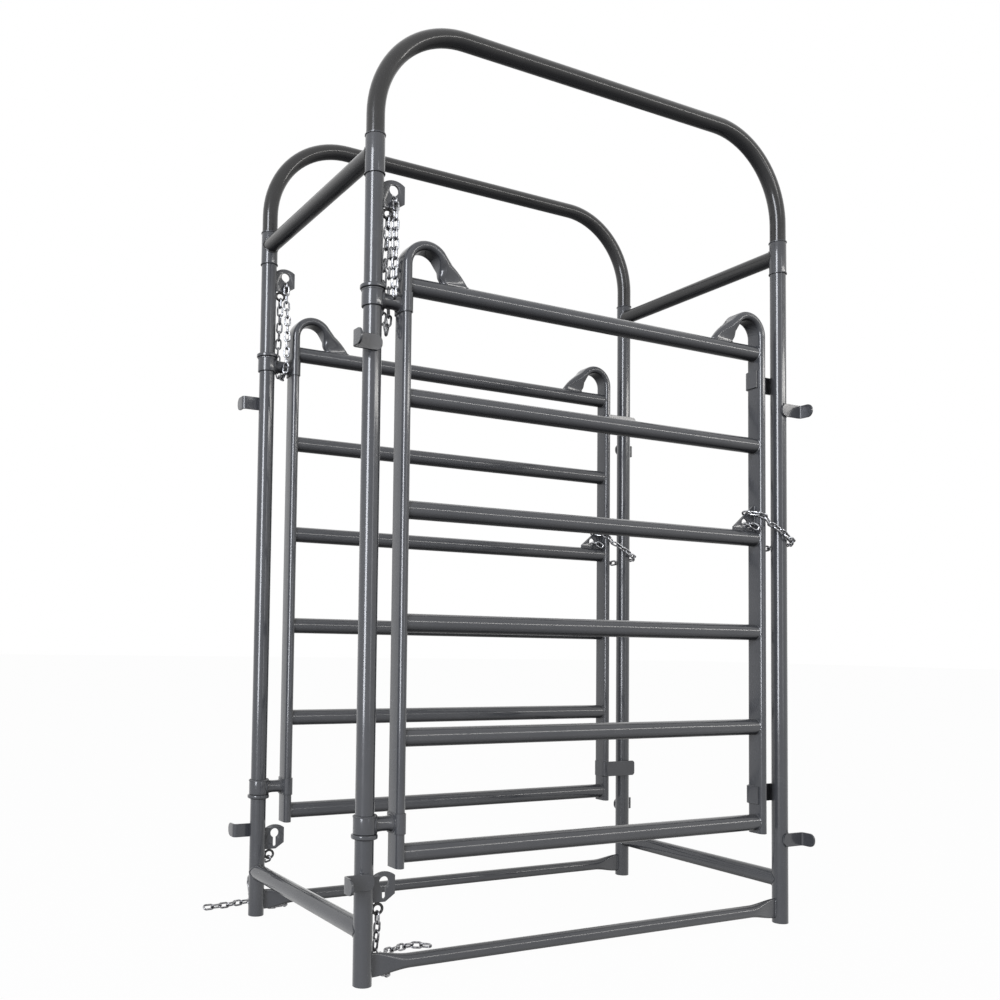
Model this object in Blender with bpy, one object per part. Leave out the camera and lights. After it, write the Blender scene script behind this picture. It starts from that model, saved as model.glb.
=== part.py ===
"""Livestock sorting gate: a free-standing alley frame with a swing gate on each side.

X runs along the alley, from the hinge legs at -X to the latch legs at +X. Y runs across it,
from the near gate at -Y to the far gate at +Y. Z is up and the legs stand on z = 0.
"""

import math

import bmesh
import bpy
from mathutils import Matrix, Vector

INCH = 0.0254

# Driving dimensions: the frame
FRAME_LENGTH = 60 * INCH  # leg centre to leg centre along the alley
FRAME_WIDTH = 30 * INCH  # leg centre to leg centre across the alley
TUBE = 2.0 * INCH  # outside diameter of legs, arches, ties and gate rails
TUBE_WALL = 0.095 * INCH
LEG_RISE = 13.4 * INCH  # top rail to the leg's top, where leg and arch meet inside the sleeve
ARCH_RISE = 15.4 * INCH  # leg's top to the centre line of the arch's level run
ARCH_BEND = 11.0 * INCH  # bend radius on the centre line
SLEEVE_LENGTH = 4.2 * INCH
SLEEVE_WALL = 0.18 * INCH
SLEEVE_LIP = 0.11 * INCH  # how far the weld lips at the sleeve's ends stand out
SLEEVE_LIP_HEIGHT = 0.4 * INCH
TOP_TIE_RISE = 0.3 * INCH  # leg's top to the tie's centre line
BOTTOM_TIE_Z = 5.5 * INCH
SILL_Z = 1.9 * INCH
SILL_TUBE = 1.5 * INCH
SILL_END_HEIGHT = 2.5 * INCH  # the sill's ends are pressed flat and flare upward
SILL_END_THICKNESS = 0.36 * INCH
SILL_FLARE = 4.5 * INCH  # length over which the sill goes from flat to round

# Driving dimensions: plates of the frame
PLATE = 0.25 * INCH  # thickness of hooks, stop plates, keyhole plates and gussets
HOOK_HEIGHT = 1.95 * INCH
HOOK_REACH = 3.7 * INCH  # leg centre to the hook's upright flange
HOOK_SIDE_REACH = 2.8 * INCH  # the same for a hook that lies on the leg's outer face
HOOK_FLANGE = 2.1 * INCH
HOOK_CORNER = 0.3 * INCH  # clipped corners at a hook's free end
HOOK_BEND = 0.35 * INCH
LOWER_HOOK_Z = 10.6 * INCH
UPPER_HOOK_DROP = 7.0 * INCH  # top rail to the hook's middle
KEYHOLE_PLATE_WIDTH = 2.6 * INCH
KEYHOLE_PLATE_HEIGHT = 3.1 * INCH
KEYHOLE_PLATE_CLIP = 0.75 * INCH
LOWER_PLATE_TOP = 11.3 * INCH
UPPER_PLATE_DROP = 2.3 * INCH  # leg's top to the upper keyhole plate's top
KEYHOLE_RADIUS = 0.57 * INCH
KEYHOLE_DROP = 1.07 * INCH  # plate top to the centre of the keyhole's round part
KEYHOLE_SLOT = 0.42 * INCH
KEYHOLE_SLOT_DEPTH = 1.7 * INCH  # round part's centre to the slot's bottom
KEYHOLE_INSET = 1.3 * INCH  # leg's face to the keyhole's centre line
ANCHOR_WIDTH = 1.36 * INCH  # ring welded to the leg under each keyhole plate
ANCHOR_HEIGHT = 1.26 * INCH
ANCHOR_GAP = 0.03 * INCH

# Driving dimensions: the gates
RAIL_COUNT = 6
RAIL_SPACING = 12.0 * INCH
LOWEST_RAIL_Z = 13.0 * INCH
UPRIGHT_THICKNESS = 1.05 * INCH  # a 2 in tube pressed to a flat oval
UPRIGHT_DEPTH = 2.47 * INCH
UPRIGHT_BOTTOM = 11.6 * INCH
HINGE_UPRIGHT_X = 3.73 * INCH  # leg centre to upright centre at the hinge end
LATCH_UPRIGHT_X = 3.95 * INCH  # and at the latch end
LOOP_RADIUS = 2.4 * INCH  # bend of the uprights' top loops
LOOP_RISE = 2.1 * INCH  # top rail's centre to the start of the bend
LOOP_REACH = 6.25 * INCH  # upright's centre to where its loop lands on the top rail
LOOP_FOOT_LENGTH = 3.4 * INCH  # the loop's end is pinched thin and long where it lands
LOOP_FOOT_THICKNESS = 1.0 * INCH
HINGE_HEIGHT = 1.85 * INCH
HINGE_WALL = 0.22 * INCH
HINGE_PLAY = 0.02 * INCH
LOWER_HINGE_Z = 16.2 * INCH
UPPER_HINGE_DROP = 2.05 * INCH  # top rail to the hinge's middle
HINGE_SPACER = 1.6 * INCH
SADDLE_HEIGHT = 2.0 * INCH
SADDLE_WALL = 0.13 * INCH
STOP_RING_HEIGHT = 0.45 * INCH
STOP_RING_WIDTH = 0.43 * INCH  # how far a stop ring stands out of its leg
TOP_RING_GAP = 0.04 * INCH
STOP_PLATE_HEIGHT = 2.2 * INCH
LOWER_STOP_PLATE_Z = 16.4 * INCH
UPPER_STOP_PLATE_DROP = 3.4 * INCH  # top rail to the plate's middle
STOP_PLATE_PAST_LEG = 1.1 * INCH
STOP_PLATE_CORNER = 0.35 * INCH
GUSSET_WIDTH = 3.7 * INCH
GUSSET_HEIGHT = 3.4 * INCH
GUSSET_TOE = 0.35 * INCH
GUSSET_RAIL = 3  # the gusset stands on this rail, counted from the lowest
GUSSET_HOLE = 0.5 * INCH
GUSSET_HOLE_INSET = 1.77 * INCH  # upright's flat to the hole's centre
GUSSET_HOLE_HEIGHT = 0.95 * INCH
GUSSET_SLOT = 0.34 * INCH
GUSSET_SLOT_REACH = 1.25 * INCH
GUSSET_SLOT_SLOPE = math.radians(16)

# Driving dimensions: the chain, 3/16 in proof coil
WIRE = 5.5e-3
LINK_PITCH = 24.1e-3
LINK_WIDTH = 20.0e-3
LINK_BITE = 0.5e-3  # neighbouring links bear on each other by this much
SLOT_LINK_TILT = math.radians(35)

# Fit and faceting
FIT_GAP = 0.0003  # between pieces that touch or are welded
TUBE_SIDES = 12  # a multiple of four, so that flats face along the axes
BEND_STEPS = 5
WIRE_SIDES = 4

LEFT, RIGHT = -FRAME_LENGTH / 2, FRAME_LENGTH / 2
NEAR, FAR = -FRAME_WIDTH / 2, FRAME_WIDTH / 2
LEG_FACE = TUBE / 2
FACET_RATIO = 1 / math.cos(math.pi / TUBE_SIDES)  # corner radius over flat radius
TOP_RAIL_Z = LOWEST_RAIL_Z + (RAIL_COUNT - 1) * RAIL_SPACING
LEG_TOP = TOP_RAIL_Z + LEG_RISE
TOP_TIE_Z = LEG_TOP + TOP_TIE_RISE
HOOK_HEIGHTS = (LOWER_HOOK_Z, TOP_RAIL_Z - UPPER_HOOK_DROP)
KEYHOLE_PLATE_TOPS = (LOWER_PLATE_TOP, LEG_TOP - UPPER_PLATE_DROP)
HINGE_HEIGHTS = (LOWER_HINGE_Z, TOP_RAIL_Z - UPPER_HINGE_DROP)
STOP_PLATE_HEIGHTS = (LOWER_STOP_PLATE_Z, TOP_RAIL_Z - UPPER_STOP_PLATE_DROP)
SLEEVE_BORE = TUBE + 2 * FIT_GAP
SLEEVE_WIDTH = SLEEVE_BORE + 2 * SLEEVE_WALL
HINGE_BORE = TUBE * FACET_RATIO + 2 * HINGE_PLAY
HINGE_WIDTH = HINGE_BORE + 2 * HINGE_WALL
LINK_BEND = (LINK_WIDTH - WIRE) / 2
WIRE_CORNER = 0.6 * WIRE  # centre to corner of the faceted wire, for a true mean width

X, Y, Z = Vector((1, 0, 0)), Vector((0, 1, 0)), Vector((0, 0, 1))


def clear_scene():
    """Removes every object, so that the script can be run again."""
    for obj in list(bpy.data.objects):
        bpy.data.objects.remove(obj, do_unlink=True)


def make_material(name, colour, roughness, metallic):
    material = bpy.data.materials.new(name)
    material.use_nodes = True
    shader = material.node_tree.nodes["Principled BSDF"]
    shader.inputs["Base Color"].default_value = (*colour, 1)
    shader.inputs["Roughness"].default_value = roughness
    shader.inputs["Metallic"].default_value = metallic
    return material


def add_object(name, mesh_data, material):
    """Names a bmesh, faces it outward, shades it and links it into the scene."""
    bmesh.ops.recalc_face_normals(mesh_data, faces=mesh_data.faces[:])
    mesh = bpy.data.meshes.new(name)
    mesh_data.to_mesh(mesh)
    mesh_data.free()
    mesh.shade_smooth()
    mesh.set_sharp_from_angle(angle=math.radians(38))
    if material:
        mesh.materials.append(material)
    obj = bpy.data.objects.new(name, mesh)
    bpy.context.scene.collection.objects.link(obj)
    return obj


def combine(target, other, operation):
    """Adds or cuts a helper shape with a Boolean and keeps the helper out of the part."""
    modifier = target.modifiers.new(operation.lower() + "_" + other.name, "BOOLEAN")
    modifier.operation = operation
    modifier.object = other
    other.hide_render = True
    other.display_type = "WIRE"
    return target


def section(centre, across, side, width, depth, sides=TUBE_SIDES):
    """Points round a tube: a circle where width equals depth, and otherwise a flat oval.

    The flats lie exactly at half the width and half the depth.
    """
    radius = min(width, depth) / 2
    points = []
    for i in range(sides):
        angle = math.tau * (i + 0.5) / sides
        a, b = math.cos(angle), math.sin(angle)
        u = radius * a / math.cos(math.pi / sides) + math.copysign(width / 2 - radius, a)
        v = radius * b / math.cos(math.pi / sides) + math.copysign(depth / 2 - radius, b)
        points.append(centre + across * u + side * v)
    return points


def skin(name, outside, bore, material):
    """Closed solid over the outside's rings; the bore's rings, where given, run right through."""
    data = bmesh.new()

    def walls(rings):
        loops = [[data.verts.new(point) for point in ring] for ring in rings]
        for low, high in zip(loops, loops[1:]):
            for i in range(len(low)):
                j = (i + 1) % len(low)
                data.faces.new((low[i], low[j], high[j], high[i]))
        return loops[0], loops[-1]

    ends = walls(outside)
    if bore:
        for outer, inner in zip(ends, walls(bore)):
            for i in range(len(outer)):
                j = (i + 1) % len(outer)
                data.faces.new((outer[i], outer[j], inner[j], inner[i]))
    else:
        for end in ends:
            data.faces.new(end)
    return add_object(name, data, material)


def cross_axes(direction):
    """The two axes across a straight tube that runs along X, Y or Z."""
    if abs(direction.z) > 0.5:
        return X, Y
    if abs(direction.x) > 0.5:
        return Y, Z
    return X, Z


def straight_tube(name, start, end, width, wall, material):
    across, side = cross_axes((end - start).normalized())
    outside = [section(point, across, side, width, width) for point in (start, end)]
    inner = width - 2 * wall
    bore = [section(point, across, side, inner, inner) for point in (start, end)] if wall else None
    return skin(name, outside, bore, material)


def solid_bar(name, start, end, width, material=None):
    return straight_tube(name, start, end, width, 0, material)


def turned_tube(name, centre, profile, bore_width, material):
    """Upright tube whose outside steps through (height, width) pairs over a straight bore."""
    outside = [section(centre + Z * height, X, Y, width, width) for height, width in profile]
    ends = (profile[0][0], profile[-1][0])
    bore = [section(centre + Z * height, X, Y, bore_width, bore_width) for height in ends]
    return skin(name, outside, bore, material)


def plate(name, outline, thickness, normal, material):
    """Flat plate from an outline of points, half its thickness to each side."""
    half = normal * (thickness / 2)
    rings = [[point - half for point in outline], [point + half for point in outline]]
    return skin(name, rings, None, material)


def strip(name, path, heights, thickness, material):
    """Flat bar on edge that follows a path in plan, with mitred bends and a height at each point."""
    rings = []
    for i, point in enumerate(path):
        before = (point - path[i - 1]).normalized() if i else (path[1] - point).normalized()
        after = (path[i + 1] - point).normalized() if i + 1 < len(path) else before
        mean = (before + after).normalized()
        half = Z.cross(mean) * (thickness / 2 / mean.dot(before))
        rise = Z * (heights[i] / 2)
        rings.append([point - half - rise, point + half - rise, point + half + rise, point - half + rise])
    return skin(name, rings, None, material)


def arc(centre, radius, first, last, steps, across=X, up=Z):
    """Points on a circle from one angle to another, in degrees."""
    angles = [math.radians(first + (last - first) * i / steps) for i in range(steps + 1)]
    return [centre + across * (radius * math.cos(a)) + up * (radius * math.sin(a)) for a in angles]


def link_points(centre, along, wide, half_length, bend):
    """Four points round a link's centre line, with ends wide enough for the next link's wire."""
    half_width = 0.97 * bend
    corners = ((half_length, half_width), (half_length, -half_width))
    corners += tuple((-a, -b) for a, b in corners)
    return [centre + along * a + wide * b for a, b in corners]


def add_ring_of_wire(data, points, normal):
    """Closed loop of round wire through the points, with a corner of the wire facing inward."""
    loops = []
    count = len(points)
    for i, point in enumerate(points):
        before = (point - points[i - 1]).normalized()
        after = (points[(i + 1) % count] - point).normalized()
        mean = (before + after).normalized()
        outward = mean.cross(normal) / mean.dot(before)
        loops.append([
            data.verts.new(point + outward * (WIRE_CORNER * math.cos(math.tau * k / WIRE_SIDES))
                           + normal * (WIRE_CORNER * math.sin(math.tau * k / WIRE_SIDES)))
            for k in range(WIRE_SIDES)
        ])
    for i, loop in enumerate(loops):
        following = loops[(i + 1) % count]
        for k in range(WIRE_SIDES):
            m = (k + 1) % WIRE_SIDES
            data.faces.new((loop[k], loop[m], following[m], following[k]))


def smooth_route(points, steps=16):
    """Points on a smooth curve through a route, close together."""
    padded = [2 * points[0] - points[1], *points, 2 * points[-1] - points[-2]]
    curve = []
    for a, b, c, d in zip(padded, padded[1:], padded[2:], padded[3:]):
        for i in range(steps):
            t = i / steps
            curve.append(0.5 * (2 * b + (c - a) * t + (2 * a - 5 * b + 4 * c - d) * t * t
                                + (3 * b - a - 3 * c + d) * t ** 3))
    curve.append(points[-1])
    return curve


def chain_nodes(route, count):
    """The bearing points between a number of equally long links that just fill the route."""
    curve = smooth_route(route)
    reached = [0.0]
    for before, after in zip(curve, curve[1:]):
        reached.append(reached[-1] + (after - before).length)
    gaps = [reached[-1] / count] * count
    nodes = []
    for _ in range(120):
        nodes = [curve[0]]
        i, walked = 0, 0.0
        for gap in gaps[:-1]:
            walked += gap
            while reached[i + 1] < walked:
                i += 1
            share = (walked - reached[i]) / (reached[i + 1] - reached[i])
            nodes.append(curve[i].lerp(curve[i + 1], share))
        nodes.append(curve[-1])
        chords = [(after - before).length for before, after in zip(nodes, nodes[1:])]
        mean = sum(chords) / count
        gaps = [gap * (mean / chord) ** 0.6 for gap, chord in zip(gaps, chords)]
        total = sum(gaps)
        gaps = [gap * reached[-1] / total for gap in gaps]
    return nodes


def carried(vector, before, after):
    """Turns a vector by the least rotation that takes one direction to another."""
    return before.rotation_difference(after) @ vector


def add_chain(name, nodes, first_wide, settled, settled_wide, material):
    """Chain through its bearing points; each link is turned a quarter turn from the last.

    first_wide is the direction across the first link's opening. By the link numbered settled, the
    chain has twisted until that link's opening lies along settled_wide, and it twists no further.
    """
    directions = [(b - a).normalized() for a, b in zip(nodes, nodes[1:])]
    wides = [(first_wide - directions[0] * first_wide.dot(directions[0])).normalized()]
    for i in range(1, len(directions)):
        wides.append(carried(wides[-1], directions[i - 1], directions[i]))
    quarter = math.pi / 2
    along = directions[settled]
    wanted = (settled_wide - along * settled_wide.dot(along)).normalized()
    untwisted = Matrix.Rotation(quarter * settled, 3, along) @ wides[settled]
    twist = math.atan2(untwisted.cross(wanted).dot(along), untwisted.dot(wanted))
    twist = (twist + quarter) % math.pi - quarter
    odd, even = bmesh.new(), bmesh.new()
    for i, along in enumerate(directions):
        wide = Matrix.Rotation(quarter * i + twist * min(i / settled, 1), 3, along) @ wides[i]
        pitch = (nodes[i + 1] - nodes[i]).length
        half = pitch / 2 + (WIRE - LINK_BITE) / 2
        centre = (nodes[i] + nodes[i + 1]) / 2
        points = link_points(centre, along, wide, half, LINK_BEND)
        add_ring_of_wire(odd if i % 2 else even, points, along.cross(wide))
    chain = add_object(name, even, material)
    if len(directions) > 1:
        combine(chain, add_object(name + "_odd_links", odd, None), "UNION")
    return chain


# Frame

def gate_name(y):
    return "near" if y < 0 else "far"


def inward(y):
    """+1 where the alley lies toward +Y of this side, and -1 where it lies toward -Y."""
    return 1 if y < 0 else -1


def stop_ring_profile():
    """Outside of a hinge leg: plain tube with a ring under the lower hinge and one over the upper."""
    ring = TUBE + 2 * STOP_RING_WIDTH
    low_top = HINGE_HEIGHTS[0] - HINGE_HEIGHT / 2 - FIT_GAP
    high_bottom = HINGE_HEIGHTS[1] + HINGE_HEIGHT / 2 + TOP_RING_GAP
    profile = [(0, TUBE)]
    for bottom in (low_top - STOP_RING_HEIGHT, high_bottom):
        top = bottom + STOP_RING_HEIGHT
        profile += [(bottom, TUBE), (bottom, ring), (top, ring), (top, TUBE)]
    return profile + [(LEG_TOP - FIT_GAP, TUBE)]


def anchor_centre(y, plate_top):
    height = plate_top - KEYHOLE_PLATE_HEIGHT - ANCHOR_GAP - ANCHOR_HEIGHT / 2
    return Vector((LEFT + LEG_FACE + ANCHOR_WIDTH / 2 - 1.2 * WIRE_CORNER / 3, y, height))


def anchor_points(y, plate_top):
    """Centre line of an anchor ring: an oval in the plane of its keyhole plate."""
    centre = anchor_centre(y, plate_top)
    corners = 8
    spread = 1 / math.cos(math.pi / corners)  # puts the flats, not the corners, at the ring's size
    across, up = spread * (ANCHOR_WIDTH - WIRE) / 2, spread * (ANCHOR_HEIGHT - WIRE) / 2
    turns = [math.tau * (i + 0.5) / corners for i in range(corners)]
    return [centre + X * (across * math.cos(a)) - Z * (up * math.sin(a)) for a in turns]


def make_leg(name, x, y, paint):
    if x > 0:
        return straight_tube(name, Vector((x, y, 0)), Vector((x, y, LEG_TOP - FIT_GAP)), TUBE, TUBE_WALL, paint)
    leg = turned_tube(name, Vector((x, y, 0)), stop_ring_profile(), TUBE - 2 * TUBE_WALL, paint)
    for i, plate_top in enumerate(KEYHOLE_PLATE_TOPS):
        data = bmesh.new()
        add_ring_of_wire(data, anchor_points(y, plate_top), Y)
        combine(leg, add_object(f"{name}_anchor_{i}", data, None), "UNION")
    return leg


def make_sleeve(name, x, y, paint):
    half, lip = SLEEVE_LENGTH / 2, SLEEVE_WIDTH + 2 * SLEEVE_LIP
    inner = half - SLEEVE_LIP_HEIGHT
    profile = [(-half, lip), (-inner, SLEEVE_WIDTH), (inner, SLEEVE_WIDTH), (half, lip)]
    return turned_tube(name, Vector((x, y, LEG_TOP)), profile, SLEEVE_BORE, paint)


def make_arch(name, y, paint):
    """Bow over one side: two bends and a level run, standing on the legs inside the sleeves."""
    shoulder = LEG_TOP + ARCH_RISE - ARCH_BEND
    inner = RIGHT - ARCH_BEND
    stations = [(Vector((LEFT, y, LEG_TOP + FIT_GAP)), 180)]
    for sign, first in ((-1, 180), (1, 90)):
        centre = Vector((sign * inner, y, shoulder))
        for i in range(BEND_STEPS + 1):
            angle = first - 90 * i / BEND_STEPS
            stations.append((arc(centre, ARCH_BEND, angle, angle, 1)[0], angle))
    stations.append((Vector((RIGHT, y, LEG_TOP + FIT_GAP)), 0))

    def rings(width):
        made = []
        for point, angle in stations:
            out = X * math.cos(math.radians(angle)) + Z * math.sin(math.radians(angle))
            made.append(section(point, out, Y, width, width))
        return made

    return skin(name, rings(TUBE), rings(TUBE - 2 * TUBE_WALL), paint)


def make_tie(name, x, height, leg_width, paint):
    """Cross tube from leg to leg or sleeve to sleeve, its ends coped to what it meets."""
    tie = straight_tube(name, Vector((x, NEAR, height)), Vector((x, FAR, height)), TUBE, TUBE_WALL, paint)
    for y in (NEAR, FAR):
        low, high = Vector((x, y, height - TUBE)), Vector((x, y, height + TUBE))
        cutter = solid_bar(f"{name}_cope_{gate_name(y)}", low, high, leg_width + 2 * FIT_GAP)
        combine(tie, cutter, "DIFFERENCE")
    return tie


def make_sill(name, y, paint):
    """Low tube along the alley's side, round in the middle and pressed flat at its ends."""
    steps = 3

    def station(share, grown):
        ease = share * share * (3 - 2 * share)
        height = SILL_END_HEIGHT + (SILL_TUBE - SILL_END_HEIGHT) * ease - 2 * grown
        thickness = SILL_END_THICKNESS + (SILL_TUBE - SILL_END_THICKNESS) * ease - 2 * grown
        return thickness, height

    def rings(grown):
        made = []
        for end in (-1, 1):
            order = range(steps + 1) if end < 0 else reversed(range(steps + 1))
            for i in order:
                offset = LEG_FACE + SILL_FLARE * i / steps if i else 0.0
                thickness, height = station(i / steps, grown)
                x = end * (RIGHT - offset)
                made.append(section(Vector((x, y, SILL_Z)), Y, Z, thickness, height))
        return made

    sill = skin(name, rings(0), rings(TUBE_WALL), paint)
    for x in (LEFT, RIGHT):
        low, high = Vector((x, y, SILL_Z - TUBE)), Vector((x, y, SILL_Z + TUBE))
        cutter = solid_bar(f"{name}_cope_{'left' if x < 0 else 'right'}", low, high, TUBE + 2 * FIT_GAP)
        combine(sill, cutter, "DIFFERENCE")
    return sill


def make_hook(name, x, y, height, paint):
    """Flat bar bent to an L that hooks onto the next panel.

    At (-X, -Y) and (+X, +Y) it lies on the leg's outer face; at the other two legs it
    springs from the leg's end face.
    """
    out_x, out_y = math.copysign(1, x), math.copysign(1, y)
    on_face = x * y > 0
    standoff = LEG_FACE + FIT_GAP
    if on_face:
        line = y + out_y * (standoff + PLATE / 2)
        start = Vector((x - out_x * 0.2 * INCH, line, height))
        corner = Vector((x + out_x * HOOK_SIDE_REACH, line, height))
    else:
        start = Vector((x + out_x * standoff, y, height))
        corner = Vector((x + out_x * HOOK_REACH, y, height))
    tip = corner + Y * (out_y * HOOK_FLANGE)
    bend = arc(corner + Vector((-out_x, out_y, 0)) * HOOK_BEND, HOOK_BEND, -90, 0, 3, X * out_x, Y * out_y)
    clip = tip - Y * (out_y * HOOK_CORNER)
    path = [start, *bend, clip, tip]
    heights = [HOOK_HEIGHT] * (len(path) - 1) + [HOOK_HEIGHT - 2 * HOOK_CORNER]
    return strip(name, path, heights, PLATE, paint)


def keyhole_cutter(name, centre, radius, slot_width, slot_reach, slot_direction, normal):
    """Solid of a round hole with a narrower slot running out of it."""
    side = normal.cross(slot_direction)
    half = slot_width / 2
    neck = math.degrees(math.asin(half / radius))
    outline = arc(centre, radius, neck, 360 - neck, 10, slot_direction, side)
    outline += arc(centre + slot_direction * (slot_reach - half), half, -90, 90, 3, slot_direction, side)
    return plate(name, outline, 3 * PLATE, normal, None)


def keyhole_centre(y, plate_top):
    return Vector((LEFT + LEG_FACE + KEYHOLE_INSET, y, plate_top - KEYHOLE_DROP))


def make_keyhole_plate(name, y, plate_top, paint):
    """Plate on a hinge leg: arched top, clipped outer corners, and a keyhole for the chain."""
    left = LEFT + LEG_FACE + FIT_GAP
    right = left + KEYHOLE_PLATE_WIDTH
    bottom = plate_top - KEYHOLE_PLATE_HEIGHT
    crown = 0.45 * INCH  # how far the plate's top falls to its sides
    middle = (left + right) / 2
    half = (right - left) / 2
    radius = (half * half + crown * crown) / (2 * crown)
    spread = math.degrees(math.asin(half / radius))
    top = arc(Vector((middle, y, plate_top - radius)), radius, 90 + spread, 90 - spread, 6)
    outline = [*top,
               Vector((right, y, bottom + KEYHOLE_PLATE_CLIP)),
               Vector((right - 1.5 * KEYHOLE_PLATE_CLIP, y, bottom)),
               Vector((left, y, bottom))]
    made = plate(name, outline, PLATE, Y, paint)
    centre = keyhole_centre(y, plate_top)
    cutter = keyhole_cutter(name + "_keyhole", centre, KEYHOLE_RADIUS, KEYHOLE_SLOT, KEYHOLE_SLOT_DEPTH, -Z, Y)
    return combine(made, cutter, "DIFFERENCE")


def anchor_bearing(y, plate_top, pull=-Z):
    """Where a chain's first link bears on the bottom of an anchor ring, from its pull's direction."""
    wire = anchor_centre(y, plate_top) - Z * ((ANCHOR_HEIGHT - WIRE) / 2)
    first_link_wire = wire - pull * (2 * WIRE_CORNER + FIT_GAP)
    return first_link_wire + pull * ((WIRE - LINK_BITE) / 2)


def slot_link_nodes(y, plate_top):
    """Bearing points of the link that lies through a keyhole's slot, and of the one behind it.

    The link leans down toward -Y and rests on the slot's front edge.
    """
    edge = keyhole_centre(y, plate_top) - Z * KEYHOLE_SLOT_DEPTH - Y * (PLATE / 2)
    lean = Vector((0, -math.cos(SLOT_LINK_TILT), -math.sin(SLOT_LINK_TILT)))
    lift = Vector((0, -math.sin(SLOT_LINK_TILT), math.cos(SLOT_LINK_TILT)))
    behind = PLATE / 2 + 1.6 * WIRE_CORNER + FIT_GAP
    line = edge + lift * (WIRE_CORNER + LINK_BEND + 2 * FIT_GAP)
    back = line - lean * ((behind - (line.y - y)) / -lean.y)
    return back + lean * LINK_PITCH, back


def hanging_tail(start, out, links):
    """Bearing points under the start of a loose end that swings out by one link and then hangs."""
    nodes = [start]
    for i in range(links):
        nodes.append(nodes[-1] + (out * (0.3 / (i + 1) ** 2) - Z).normalized() * LINK_PITCH)
    return nodes[1:]


def make_upper_chain(name, y, links, tail_links, steel):
    """Chain kept on a hinge leg: from the anchor ring round the hinge and up to the keyhole.

    The near one comes up behind its plate and drops its long tail in front; the far one comes up
    in front, and its last link hangs behind.
    """
    plate_top = KEYHOLE_PLATE_TOPS[1]
    start = anchor_bearing(y, plate_top)
    front, back = slot_link_nodes(y, plate_top)
    spacer_top = HINGE_HEIGHTS[1] + HINGE_SPACER / 2
    clear = HINGE_SPACER / 2 * FACET_RATIO + LINK_WIDTH / 2 + WIRE_CORNER / 2
    lead = Vector((LEFT + 1.85 * INCH, 0, 0))
    if y < 0:
        route = [
            start,
            start - Z * LINK_PITCH,
            Vector((start.x, y + 0.1 * INCH, start.z - 2.2 * INCH)),
            Vector((lead.x - 0.2 * INCH, y + 0.75 * INCH, start.z - 5.4 * INCH)),
            Vector((lead.x - 0.1 * INCH, y + clear, spacer_top)),
            Vector((lead.x + 0.1 * INCH, y + clear, spacer_top - 2.2 * INCH)),
            Vector((lead.x + 0.4 * INCH, y + clear - 0.1 * INCH, spacer_top - 4.1 * INCH)),
            Vector((lead.x + 0.8 * INCH, y + clear + 0.1 * INCH, spacer_top - 2.3 * INCH)),
            Vector((lead.x + 0.85 * INCH, y + clear + 0.3 * INCH, spacer_top)),
            Vector((lead.x + 0.75 * INCH, y + clear, spacer_top + 2.4 * INCH)),
            Vector((back.x + 0.25 * INCH, y + 0.95 * INCH, back.z - 5.4 * INCH)),
            Vector((back.x + 0.15 * INCH, back.y + 0.65 * INCH, back.z - 2.4 * INCH)),
            Vector((back.x + 0.05 * INCH, back.y + 0.36 * INCH, back.z - 1.0 * INCH)),
            back,
        ]
        ends = [front, *hanging_tail(front, -Y, tail_links)]
    else:
        under = HINGE_HEIGHTS[1] - HINGE_SPACER / 2 - LINK_WIDTH / 2 - WIRE
        route = [
            start,
            start - Z * LINK_PITCH,
            Vector((start.x + 0.1 * INCH, y + 0.2 * INCH, start.z - 2.4 * INCH)),
            Vector((lead.x, y + 0.8 * INCH, start.z - 5.2 * INCH)),
            Vector((lead.x + 0.1 * INCH, y + clear + 0.1 * INCH, spacer_top)),
            Vector((lead.x + 0.2 * INCH, y + clear, spacer_top - 1.3 * INCH)),
            Vector((lead.x + 0.2 * INCH, y, under - 0.1 * INCH)),
            Vector((lead.x + 0.25 * INCH, y - clear, spacer_top - 1.3 * INCH)),
            Vector((lead.x + 0.3 * INCH, y - clear, spacer_top + 0.4 * INCH)),
            Vector((front.x, y - clear + 0.2 * INCH, front.z - 5.0 * INCH)),
            Vector((front.x, front.y - 0.1 * INCH, front.z - 2.4 * INCH)),
            front,
        ]
        ends = [back, *hanging_tail(back, Y, tail_links)]
    return add_chain(name, chain_nodes(route, links) + ends, Y, links + 1, X, steel)


def make_lower_chain(name, y, pull, first_wide, route, links, settled, steel):
    """Chain that hangs from the lower anchor ring and lies on the ground with its free end.

    From the link numbered settled on, its links lie half rolled over, as on a floor.
    """
    pull = Vector(pull).normalized()
    start = anchor_bearing(y, KEYHOLE_PLATE_TOPS[0], pull)
    points = [start, start + pull * LINK_PITCH] + [Vector(point) * INCH for point in route]
    nodes = chain_nodes(points, links)
    print(name, "link pitch", round((nodes[1] - nodes[0]).length * 1000, 2), "mm")
    along = (nodes[settled + 1] - nodes[settled]).normalized()
    return add_chain(name, nodes, first_wide, settled, Z + along.cross(Z), steel)


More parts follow.
